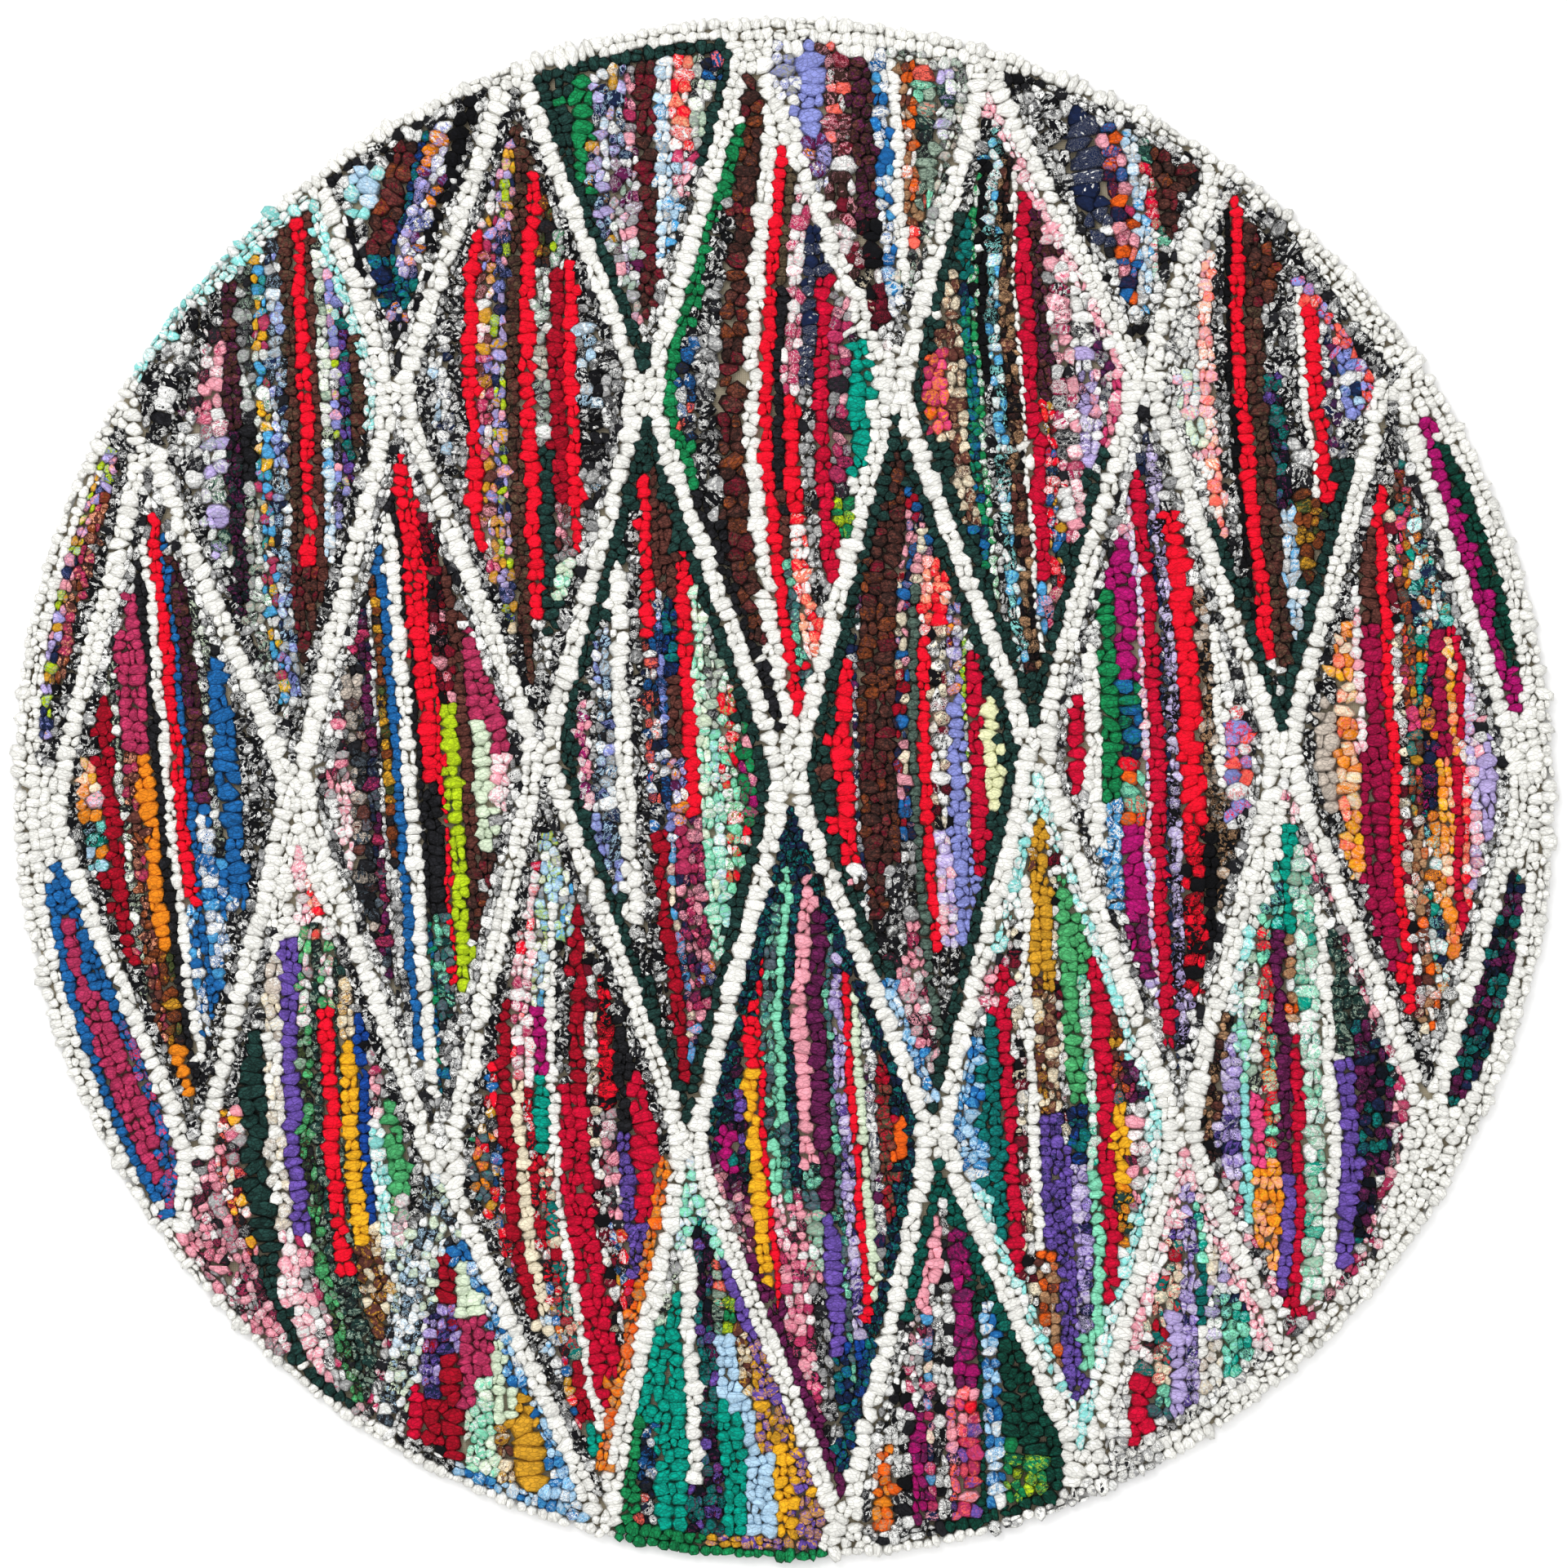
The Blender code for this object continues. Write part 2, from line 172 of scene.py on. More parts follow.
# Rags of more than one dye
RAGS = {
    # name: size of a patch in millimetres, share covered by the other dyes, how dark the painted shade in the
    # folds and creases is, dyes
    "salt": (4.0, 0.40, 0.20, "white black coal grey black"),
    "palesalt": (3.8, 0.25, 0.20, "ivory grey white coal"),
    "darksalt": (4.0, 0.55, 0.30, "black white coal white black"),
    "blackwhite": (4.0, 0.50, 0.20, "black white wine black cream"),
    "coalfleck": (4.0, 0.50, 0.25, "black white coal white grey"),
    "greysalt": (3.8, 0.60, 0.25, "white grey coal black"),
    "navydot": (2.4, 0.03, 0.10, "navy white navy"),
    "navywhite": (3.6, 0.45, 0.30, "navy white plum navy grey"),
    "navyprint": (3.1, 0.45, 0.35, "navy denim coal coral white ink"),
    "navypurple": (3.4, 0.45, 0.30, "navy purple"),
    "navyblue": (3.4, 0.50, 0.30, "blue navy deepteal"),
    "navyteal": (3.7, 0.45, 0.35, "ink navy deepteal teal"),
    "denimwhite": (3.4, 0.50, 0.20, "denim white denim lightblue"),
    "denimsky": (3.4, 0.50, 0.20, "lightblue sky denim white"),
    "bluewhite": (3.1, 0.45, 0.20, "white lightblue denim"),
    "denimprint": (3.4, 0.50, 0.35, "denim navy peri white"),
    "skyprint": (3.4, 0.55, 0.25, "sky white grey navy peri coal"),
    "skywhite": (3.4, 0.45, 0.20, "white sky white grey lightblue"),
    "skymint": (3.4, 0.50, 0.20, "sky mint white"),
    "skysalt": (3.8, 0.60, 0.30, "sky white coal palegreen"),
    "bluegrey": (3.4, 0.45, 0.30, "grey sky white navy"),
    "periprint": (3.4, 0.45, 0.35, "peri navy plum lavender orange white"),
    "periwhite": (3.4, 0.50, 0.30, "peri white grey"),
    "lavwhite": (3.1, 0.45, 0.25, "white lavender pink lilac"),
    "lavblack": (3.1, 0.35, 0.30, "lavender black lilac"),
    "purpleprint": (3.4, 0.45, 0.30, "purple navy lavender darkred"),
    "plumprint": (3.4, 0.50, 0.40, "plum raspberry coal pink navy"),
    "plumblack": (3.4, 0.45, 0.35, "plum ink coal pine"),
    "plumteal": (3.4, 0.50, 0.35, "plum ink deepteal purple"),
    "plumbrown": (3.4, 0.40, 0.35, "plum darkbrown brown"),
    "magentaprint": (3.4, 0.50, 0.30, "magenta pink white plum"),
    "magentaplum": (3.4, 0.45, 0.25, "magenta plum magenta"),
    "berry": (3.4, 0.50, 0.30, "plum magenta kelly pink"),
    "wineprint": (3.4, 0.50, 0.40, "wine grey navy pink brown"),
    "rosy": (3.4, 0.50, 0.25, "pink white raspberry white red"),
    "rosysalt": (3.8, 0.60, 0.30, "white pink coal grey raspberry white"),
    "rosygreen": (3.4, 0.60, 0.30, "pink white green grey"),
    "rosydark": (3.4, 0.60, 0.35, "raspberry pink grey white coal"),
    "pinkwhite": (3.4, 0.35, 0.20, "white pink white"),
    "pinkstripe": (1.8, 0.50, 0.25, "pink white raspberry"),
    "pinkprint": (3.4, 0.55, 0.30, "hotpink pink raspberry coal white"),
    "hotpinkprint": (3.4, 0.50, 0.25, "hotpink pink raspberry white"),
    "coralpink": (3.4, 0.40, 0.20, "peach pink white coral"),
    "coralprint": (3.4, 0.45, 0.25, "coral red white peach"),
    "coralred": (3.4, 0.45, 0.25, "red coral peri white"),
    "peachprint": (3.4, 0.50, 0.25, "peach orange coral cream yellow"),
    "redprint": (3.4, 0.40, 0.30, "red coal darkred white"),
    "redgreen": (3.7, 0.50, 0.30, "red deepteal cream darkred"),
    "redblack": (4.1, 0.40, 0.30, "black red black"),
    "crimsonolive": (3.4, 0.50, 0.35, "crimson olive darkred"),
    "orangepink": (3.7, 0.50, 0.25, "orange hotpink raspberry tangerine"),
    "orangerosy": (3.4, 0.60, 0.30, "coral mustard white raspberry coal"),
    "autumn": (3.1, 0.55, 0.40, "darkbrown rust mustard coal moss"),
    "autumnbright": (3.4, 0.60, 0.35, "tangerine brown hotpink deepteal mustard"),
    "brownrust": (3.4, 0.30, 0.35, "brown darkbrown wine rust darkbrown"),
    "brownwine": (3.4, 0.35, 0.30, "brown wine darkbrown"),
    "tanprint": (3.4, 0.50, 0.30, "tan brown cream"),
    "tanorange": (3.4, 0.45, 0.25, "tan tangerine orange"),
    "taupeblack": (4.0, 0.50, 0.35, "tan black taupe"),
    "limeprint": (3.4, 0.55, 0.30, "kelly lime white grey"),
    "limegreen": (3.4, 0.50, 0.30, "pine kelly lime"),
    "limesky": (3.4, 0.60, 0.25, "lime sky white lightblue grey"),
    "mintwhite": (3.4, 0.45, 0.20, "white mint palegreen"),
    "mintprint": (3.4, 0.45, 0.25, "mint white sage teal"),
    "meadow": (3.4, 0.55, 0.30, "green red white mint"),
    "sagewhite": (3.4, 0.45, 0.25, "sage white grey coal taupe"),
    "sagepine": (3.4, 0.45, 0.30, "sage pine coal"),
    "sageprint": (3.4, 0.55, 0.30, "sage lavender white pine"),
    "greenolive": (3.4, 0.55, 0.35, "moss green coal sage"),
    "greentint": (3.4, 0.55, 0.25, "palegreen white sage grey coal"),
    "greengrey": (3.1, 0.50, 0.35, "pine sage mint coral coal"),
    "kellywhite": (3.4, 0.40, 0.25, "green kelly white"),
    "tealprint": (3.4, 0.50, 0.30, "deepteal slate mint coal"),
    "tealnavy": (3.4, 0.45, 0.30, "deepteal navy ink"),
    "tealblue": (3.4, 0.45, 0.30, "deepteal denim kelly navy"),
    "tealred": (3.4, 0.50, 0.30, "deepteal red mint tangerine"),
    "tealmulti": (3.4, 0.55, 0.35, "deepteal slate orange raspberry green"),
    "aquaprint": (2.7, 0.50, 0.30, "aqua white black lightblue"),
    "aquawhite": (3.4, 0.40, 0.20, "white aqua white"),
    "aquateal": (3.4, 0.50, 0.25, "aqua teal mint navy"),
    "confetti": (3.4, 0.65, 0.35, "pink lightblue cream navy raspberry"),
    "confettiblue": (3.4, 0.60, 0.30, "sky navy white mustard lavender"),
    "confettiwhite": (3.4, 0.55, 0.25, "white pink sky coal raspberry"),
    "confettired": (3.4, 0.60, 0.30, "white red denim coal mustard"),
    "dusk": (3.4, 0.55, 0.45, "coal plum navy raspberry slate"),
    "slateprint": (3.4, 0.55, 0.40, "slate taupe coal brown"),
    "bright": (3.4, 0.65, 0.30, "kelly lightblue yellow raspberry white"),
    "mustardprint": (3.4, 0.50, 0.30, "mustard brown cream"),
    "mustardpurple": (4.4, 0.45, 0.25, "yellow purple mustard"),
    "yelloworange": (4.1, 0.45, 0.20, "yellow orange peach"),
    "yellowpine": (4.1, 0.40, 0.25, "yellow pine orange"),
    "greyplum": (3.1, 0.60, 0.35, "plum grey raspberry coal pink"),
    "denimred": (5.0, 0.60, 0.25, "red denim"),
    "skyaqua": (3.4, 0.60, 0.25, "white sky aqua grey"),
    "browntan": (3.2, 0.55, 0.40, "darkbrown tan black brown"),
    "saltred": (3.8, 0.60, 0.30, "white black red sage coal"),
    "lavrosy": (3.4, 0.60, 0.30, "lilac white pink plum grey sage"),
    "coralplum": (3.4, 0.60, 0.30, "pink darkbrown coral white wine"),
    "rustprint": (3.4, 0.60, 0.35, "rust tan tangerine white brown"),
    "winemulti": (3.4, 0.65, 0.35, "wine denim tangerine pink navy raspberry"),
    "mintred": (3.4, 0.60, 0.30, "mint white crimson pine"),
    "sagegrey": (3.4, 0.60, 0.30, "sage grey coal white"),
    "olivebrown": (3.4, 0.35, 0.35, "olive brown darkbrown"),
    "lavmulti": (3.6, 0.65, 0.30, "lavender lime pink white peri coal"),
    "taupepink": (3.4, 0.60, 0.30, "taupe pink coal white"),
    "pinkmulti": (3.8, 0.65, 0.30, "pink peri white mustard brown raspberry"),
    "perimulti": (3.8, 0.65, 0.30, "peri lavender pink mustard lime navy"),
    "greysky": (3.8, 0.60, 0.25, "white black sky grey coal"),
    "navylav": (3.1, 0.60, 0.30, "navy white lavender pink"),
    "skypink": (3.4, 0.60, 0.25, "sky palegreen pink white"),
    "blueperi": (3.6, 0.60, 0.30, "denim peri navy white sky"),
    "tealrosy": (3.4, 0.65, 0.30, "teal pink aqua orange black sky"),
    "mintsalt": (3.1, 0.55, 0.30, "palegreen coal white"),
    "autumnrosy": (3.4, 0.60, 0.35, "peach brown raspberry rust coal"),
    "redplum": (3.4, 0.60, 0.40, "darkred black wine pink"),
    "flowers": (4.0, 0.65, 0.30, "darkbrown denim pink darkred navy cream"),
    "aquanavy": (3.4, 0.60, 0.30, "aqua navy teal white orange"),
    "magentadusk": (3.6, 0.60, 0.35, "magenta navy orange teal black"),
    "yellowrosy": (4.0, 0.60, 0.25, "coral yellow pink wine white coal"),
    "taupewhite": (3.4, 0.40, 0.25, "ivory taupe ivory cream"),
    "plumrosy": (3.4, 0.60, 0.35, "brown plum pink grey"),
    "mintrosy": (3.4, 0.60, 0.30, "mint pink white sage raspberry"),
    "purplelav": (3.4, 0.45, 0.30, "purple lavender lilac navy"),
    "navymulti": (3.6, 0.60, 0.35, "ink navy plum ink deepteal plum"),
    "coralrosy": (3.6, 0.60, 0.25, "coral raspberry pink purple red"),
    "purplerosy": (3.4, 0.60, 0.30, "purple coral pink coal"),
    "redteal": (3.4, 0.60, 0.30, "crimson white deepteal pink coal"),
}

PLAIN = (6.0, 0.0, 0.35)  # patch size, share of other dyes and painted fold shade of cloth of one dye
MOST_DYES = 6  # in any rag

# Each diamond: the first column, how far the rows lean from there on the way down, the cloths of its outline
# on the left and on the right, and its rows from left to right. A row is its width in columns and its cloth,
# then, where the cloth changes on the way down, the share of the diamond's height at which it does and the
# next cloth. An outline is given in the same way without a width, and "-" stands for no outline.
DIAMONDS = {
    # first column, (share of the height, columns to the right), left, right, rows
    ("crown", 0): (0, (), "salt", "salt", "12 salt"),
    ("crown", 1): (0, ((.6, 1.2), (.7, 0), (.8, -1.5), (.88, -.9)), "darksalt", "darksalt",
        "2.4 darksalt | 2.6 skyaqua .79 browntan .84 navyblue | 1.9 brownrust .8 navyblue .88 periprint"
        " | .5 navyblue .88 periprint | 1.5 periprint .83 navyblue .88 periprint | 1.7 black"
        " | 2.5 saltred"),
    ("crown", 2): (-1.1, (), "pine", "pine .68 coalfleck",
        "2.6 confettiwhite | 1.6 kelly | 1.1 confettiblue | 1.2 confettiblue .65 lavrosy"
        " | .8 greyplum .63 lavrosy | 1.3 brownwine | 1.1 skywhite | 1.4 coralprint .65 confettiwhite"
        " | .9 greentint | 1.8 navyprint"),
    ("crown", 3): (-1, ((.6, 0), (.75, .2), (.9, .6)), "-", "sagewhite .85 salt",
        "2 periwhite | 1.9 peri .62 periprint .8 blackwhite | 1.6 coralplum"
        " | 1.6 plumbrown .76 blackwhite | 1.1 denimwhite | .9 ivory | .9 rustprint .76 coralred"
        " | 1.6 greengrey | 1.3 sageprint | 2 aquawhite"),
    ("crown", 4): (1, ((.65, -.3), (.8, .5), (.9, .3)), "darksalt", "darksalt",
        "2 salt | 2.5 navydot | 1.8 winemulti | 1.1 skywhite | .6 mintred | 1.6 brownrust | 1.7 brownrust"
        " | 1 salt"),
    ("crown", 5): (0, (), "ivory", "ivory", "12 ivory"),
    ("upper", 1): (-2, ((.3, -.2), (.5, 0), (.75, .1), (.9, .8)), "aquawhite .3 salt", "aquawhite .5 salt",
        "2 pinkwhite .52 salt | 1.5 navywhite .5 coalfleck | 1.6 rosydark .5 sageprint .73 salt"
        " | 1 plumbrown .5 plumblack .8 salt | 1 sagegrey .5 coal .58 sagewhite .87 salt | .9 bright"
        " | 1 skyprint | .8 olivebrown .68 brownwine | .9 red .69 brownrust | .5 brown"
        " | .7 greentint .53 skywhite | .6 lavmulti | .7 plumteal | .7 olivebrown | .9 taupepink"),
    ("upper", 2): (-.8, ((.12, 1.2), (.2, .9), (.3, .35), (.4, 0), (.8, 0), (.9, .5)),
        "salt", "salt .6 coalfleck .75 salt",
        "1.4 brown | .9 bluegrey | .9 salt | .9 rosy .24 red .76 rosydark | .9 pinkmulti"
        " | .9 perimulti .8 mustardprint .88 perimulti | .9 olivebrown | 1 red .8 coalfleck"
        " | .9 autumn .3 sagewhite .56 pine .85 coalfleck"
        " | 1 limeprint .28 darkred .63 wineprint .73 mintwhite | .8 red .73 coalfleck | 1.5 greysky"
        " | 1.8 aqua"),
    ("upper", 3): (-.3, ((.1, 2.3), (.2, 1.7), (.3, .9), (.42, .3), (.5, 0), (.6, 0), (.75, .4), (.9, 1.2)),
        "- .1 kelly .6 coal", "-",
        "1.4 navyprint | 1.5 salt | 1.6 brownrust | 1.1 ivory | .8 red"
        " | .6 olive .33 coal .62 brown .68 tealprint .88 red"
        " | 1.1 pinkstripe .48 red .65 coralprint .9 red | .9 navydot .46 greysalt .8 mustardprint"
        " | 1 navydot .32 crimson .73 limeprint | 1.3 greyplum .62 limegreen .78 tealprint | 1.4 teal"
        " | .9 magenta"),
    ("upper", 4): (-.5, ((.12, .9), (.2, .3), (.35, 0), (.8, 0), (.92, .6)),
        "salt .2 pine", "pinkwhite .45 hotpinkprint .55 pine",
        "2 orangepink | 1.1 tanprint | .7 deepteal .3 tealblue .78 skyprint | .4 kellywhite"
        " | .5 black .45 salt | .9 aquaprint | .9 browntan | .3 ivory | 1 crimson .75 confetti"
        " | .8 plumbrown .48 confettired | 1.6 plumbrown .27 rosysalt | 1.3 palesalt .4 navylav"
        " | .6 pinkwhite .3 navywhite | 1.9 hotpinkprint"),
    ("upper", 5): (-1.2, ((.1, .9), (.2, .5), (.3, .1), (.5, 0), (.8, .1), (.92, .6)),
        "palesalt .6 pine", "salt .2 coralred .42 salt .5 pine",
        "1.6 skypink | 1.2 palesalt .35 skypink .65 palesalt | .9 coralpink | .8 salt | .4 black"
        " | .9 red .83 coalfleck | 1.2 brownrust .25 olivebrown"
        " | 1 brownrust .24 salt .35 plumteal .57 skywhite | 1.2 brownrust .17 salt .55 autumn"
        " | .5 skyprint .22 ivory .57 autumn | 1 red .57 pine | 1 navywhite .5 pine | 1.4 blueperi"
        " | 1.2 coralred"),
    ("middle", 1): (0, ((.15, -.5), (.3, -.2), (.5, 0), (.7, .35), (.8, .6), (.9, 1.2)),
        "coalfleck .3 salt", "coalfleck .4 salt",
        "1.6 peachprint .47 tealrosy .58 darkred | 1 darkred | .5 mintsalt | .8 raspberry .42 autumnrosy"
        " | 1.1 raspberry .42 orange .7 autumn .84 orange | .5 coal | .7 ivory | .8 red .64 denimwhite"
        " | .4 denim | 1.1 plumbrown .5 denimwhite | .5 mintsalt .56 denimwhite"
        " | 1.5 denim .62 denimwhite | .5 salt .6 denim | 2.3 olivebrown"),
    ("middle", 2): (-.8, ((.1, -.8), (.2, -.45), (.3, -.2), (.45, 0), (.9, .2)), "coalfleck", "coalfleck",
        "1.5 rosydark | .8 rosydark .5 pinkwhite | 1.2 slateprint | .7 dusk | .3 coalfleck"
        " | .6 autumn .6 coalfleck | .6 denim | 1 ivory | .3 coal .67 tealblue"
        " | 1.1 red .5 coal .67 tealprint .8 coalfleck | .3 red .75 coalfleck | 1.1 redplum .41 lime"
        " | .8 brown .6 brownrust | 1.1 raspberry .41 palegreen .6 brownrust"
        " | 1.3 raspberry .45 pinkwhite"),
    ("middle", 3): (-1.2, ((.12, .3), (.25, .2), (.4, 0), (.65, 0), (.75, .3), (.85, .8)), "pine", "pine",
        "1.5 navydot | .9 magentaprint | .4 salt .5 skyprint | 1.1 salt .3 skyprint | 1.2 ivory .7 salt"
        " | .9 salt | 1 red .33 navyprint .58 darkred | .5 brown .27 denimprint .58 confetti"
        " | 1 brown .27 navyblue .37 brown .48 periprint .56 raspberry .64 plumprint"
        " | .9 red .57 plumprint .76 periprint | .8 mintwhite | .7 greentint .45 skymint | 1.1 meadow"
        " | 1.2 berry"),
    ("middle", 4): (-.8, ((.1, 1.9), (.2, 1.4), (.3, .5), (.5, 0), (.75, .1), (.9, 1)),
        "pine .78 denimsky .95 pine", "pine",
        "1.8 brown | 1.2 red .64 pinkwhite | .3 navywhite | 1.2 brownrust .72 salt"
        " | 1.2 brownrust .62 salt .75 rosydark | .9 flowers .6 greysalt .7 rosydark"
        " | .6 flowers .26 slatepine | .8 flowers .22 coralprint .33 red .76 salt"
        " | 1.1 coralprint .3 blackwhite .58 lavwhite .75 salt | 1 periprint .4 peri .78 pine"
        " | .3 limeprint .6 peri | 1 crimson | 1 paleyellow | .8 sky"),
    ("middle", 5): (0, ((.12, -.5), (.2, -.4), (.3, 0), (.5, 0), (.7, -.3), (.9, -.3)),
        "coalfleck", "coalfleck",
        "1.2 crimson | 1.1 ivory | 1.2 kelly .57 bluewhite"
        " | 1.5 magenta .42 tealblue .5 tealred .61 magenta .72 magentaplum | .4 lavwhite | 1 crimson"
        " | .2 navydot | .8 lavblack | 1.5 red .61 redblack | .8 taupeblack .6 black"
        " | .6 ivory .55 taupeblack | 2.1 coralred"),
    ("middle", 6): (-1.4, ((.1, -.1), (.3, -.2), (.5, 0), (.7, -.1), (.85, .2)), "salt", "coalfleck",
        "1.4 coalfleck | 1.6 taupe .64 peachprint | 1.4 peachprint | .6 pinkwhite .52 garnet"
        " | 1.3 brown .33 garnet | .7 red | .6 blackwhite | .9 autumnbright .6 rustprint"
        " | 1 aquanavy .35 magentadusk .6 aquanavy | .9 aquanavy .35 garnet .53 peachprint"
        " | .6 aquanavy .33 crimson .37 peachprint .52 crimson | .5 crimson .5 coralprint | .7 lavwhite"
        " | 1.1 lavender | 1.1 bright"),
    ("lower", 1): (-2, ((.2, 1), (.33, .4), (.5, 0), (.65, .1), (.75, .9), (.85, 1.9)),
        "ivory .2 salt .45 yellowrosy .64 pine", "ivory .2 salt .6 skysalt .75 rosysalt",
        "1.5 orangerosy | 1.5 rosydark .54 yellowrosy | 1.7 pine | 1.2 taupewhite .6 pinkwhite"
        " | 1.1 ivory .2 purple .62 rosysalt | .9 pinkwhite .2 rosygreen .33 greenolive"
        " | .5 coralprint .2 sagepine | 1.1 pinkwhite .2 rosygreen .3 red .67 sagepine | .2 sagepine"
        " | 1.1 mustardprint .34 yellow .63 mustardprint | .7 blue .6 mustardprint"
        " | .9 rosysalt .45 aquawhite .62 skysalt | 1.3 green .56 rosygreen | 1.6 rosy"),
    ("lower", 2): (-.4, ((.15, 1.5), (.25, .8), (.35, .3), (.5, 0), (.6, 0), (.7, .4), (.8, .9), (.9, 1.6)),
        "salt", "salt .53 tanorange",
        "1.5 tealmulti | .8 confettired | .9 darkred .74 cream | .8 rosy .42 cream .75 skywhite"
        " | .6 rosy .45 redprint .7 confettired"
        " | .9 limesky .33 magenta .43 teal .52 redgreen .8 darkred .88 teal | .6 limesky .2 ivory"
        " | .95 limesky .25 salt .43 crimson | .95 darkred .45 crimson | .8 blackwhite"
        " | 1 redblack .45 rosydark .6 confettired | .9 coal .5 navypurple | 1.5 crimson"
        " | 1.4 purpleprint"),
    ("lower", 3): (-.7, ((.15, 1.3), (.22, .7), (.3, .1), (.5, 0), (.9, .2)),
        "tealnavy .5 plumrosy .65 plum", "tealnavy .75 navyblue",
        "1.8 magentaplum .44 magenta .58 plumrosy | .6 plumteal .55 plumrosy | 1 red .39 yellow .77 red"
        " | .35 red | .85 tealprint .47 mint .56 pinkprint | .6 mint .47 tealprint .56 pinkprint"
        " | .6 tealnavy .55 pinkprint | 1 pink .52 tealprint .58 mintrosy .67 greysalt"
        " | 1.2 plum .58 purple .78 navyblue | .4 tealprint | .8 purplelav .75 blue | .5 red .73 blue"
        " | .6 palegreen .75 navyteal | .7 navywhite | .9 crimsonolive | 1.4 tangerine"),
    ("lower", 4): (-.8, ((.15, .3), (.3, .1), (.5, 0), (.8, -.3), (.95, 0)),
        "aquawhite .28 rosysalt .4 denimsky .62 aquawhite", "aquawhite",
        "2.3 denimsky | .9 deepteal | .9 crimson | .8 blackwhite | .7 ivory .7 rustprint"
        " | .7 mustardprint .16 mustard .32 mustardprint .51 navypurple .7 rustprint"
        " | .8 mustard .35 tanprint .51 navypurple | .4 blackwhite .55 purple"
        " | 1.2 green .5 navyblue .58 purplelav .8 mint | .7 green .32 mintprint .58 mint"
        " | 1.1 crimson .78 darkred | .8 autumnbright .5 yellow .6 yellowpine | 1.3 dusk .5 rosydark"
        " | 1.3 autumnbright"),
    ("lower", 5): (-1.1, ((.15, .2), (.5, 0), (.65, -.2), (.8, -1)),
        "ivory .25 aquawhite .38 browntan .6 rosysalt", "rosysalt",
        "1.7 browntan | 1.3 purplelav .63 rosysalt | .6 skymint .5 aqua"
        " | .9 greentint .5 hotpink .6 yelloworange | .9 aquateal .27 tealred .6 yelloworange"
        " | .9 aquateal .27 plum .61 purple .8 plum | .7 teal .27 rustprint .4 crimson | 1.4 mintprint"
        " | .9 ivory | 1.2 sagepine .43 purple | 1.2 sagepine .38 navymulti | 1.2 navymulti | 1 plumteal"
        " | 1.2 pinkwhite"),
    ("foot", 0): (0, (), "rosydark", "rosydark", "12 rosydark"),
    ("foot", 1): (0, (), "skysalt .33 darksalt", "skysalt .1 denimsky",
        "1.4 skysalt | 1 purpleprint .19 crimson | 1.3 purpleprint .3 darkred"
        " | 1.5 darkred .19 purpleprint .26 darkred | .9 palegreen .22 raspberry .33 mintwhite"
        " | 1.2 palegreen .2 raspberry .29 mintwhite | 1 palegreen .34 mustardprint | 2.4 mustard"),
    ("foot", 2): (-.7, (),
        "skymint .14 greentint .25 teal .37 kelly", "skymint .15 purple .27 mustardpurple",
        "1.3 navyblue | 1 navyprint | 1.1 teal | 1.1 teal | 1.1 ivory .46 plumteal | 1.2 plumteal"
        " | .7 greengrey .25 sky .35 teal | .9 limegreen .27 sky .37 teal | .9 mustardprint .34 sky"
        " | 1 mustardpurple .42 sky | 1 mustardpurple .42 yellow | 2 mustardpurple"),
    ("foot", 3): (-1.2, (), "tealpine .25 coalfleck", "tealpine .28 pinegreen",
        "1.3 coalfleck .3 tanorange | 1.2 coalfleck .2 tanorange | 1.4 darksalt"
        " | .9 rosysalt .38 magentaplum | .6 pink .26 confetti | .9 pink .2 darksalt"
        " | .6 darksalt .36 purplerosy | 1.6 magentaplum .35 coralrosy | .3 pinegreen | 1.2 denimsky"
        " | 1.2 pinegreen .4 limegreen | 1.6 pinegreen .43 limegreen"),
    ("foot", 4): (-1.5, (), "pinkwhite .3 palesalt", "pinkwhite .3 palesalt",
        "2.4 redteal | 1.8 redteal .32 crimson | 1 redgreen .33 tealprint"
        " | 1.1 purplelav .15 redgreen .24 lavender | 1 purplelav"
        " | .7 aquateal .17 deepteal .27 taupewhite | .9 taupewhite .2 sageprint .27 taupewhite"
        " | 1 sageprint .22 aquateal | 1.2 aquateal"),
    ("foot", 5): (0, (), "ivory", "ivory", "12 ivory"),
}  # fmt: skip

# Half diamonds at the two sides are filled with rings that follow the rim, from the border inwards. Their
# outlines are given as above.
SIDES = {
    # left and right outline, (millimetres, cloth) of each ring
    ("upper", 0): ("-", "salt", ((9, "perimulti"), (9, "autumnrosy"), (9, "salt"))),
    ("upper", 6): ("pinegreen .3 magenta", "-", ((9, "pinegreen"), (11, "magentaplum"), (11, "magentaplum"))),
    ("middle", 0): ("-", "salt", ((9, "salt"),)),
    ("lower", 0): ("-", "denim .3 denimred .6 denim", ((8, "denim"), (11, "raspberry"), (11, "raspberry"))),
    ("lower", 6): ("navymulti", "-", ((10, "navymulti"), (11, "plumteal"), (11, "navymulti"))),
}

random = np.random.default_rng(77)


def linear(code):
    """A hexadecimal colour as linear red, green and blue."""
    channels = np.array([int(code[k : k + 2], 16) for k in (0, 2, 4)]) / 255
    return np.where(channels <= 0.04045, channels / 12.92, ((channels + 0.055) / 1.055) ** 2.4)


def angle_of(points):
    """The angle at which each point lies, from the rug's middle."""
    return np.arctan2(points[:, 1], points[:, 0])


def rim_radius(angle):
    """Radius of the rug at an angle: a circle, drawn out a little along one diagonal."""
    return RIM + OVAL_REACH * np.cos(2 * (angle - OVAL_LONG_AXIS))


def depth_inside(points):
    """How far each point lies in from the rim."""
    return rim_radius(angle_of(points)) - np.hypot(points[:, 0], points[:, 1])


def border_width(angle):
    """Width of the ivory border at an angle."""
    degrees, widths = np.array(BORDER, float).T
    return np.interp(np.degrees(angle), degrees, widths) * MM


# The trellis and its diamonds


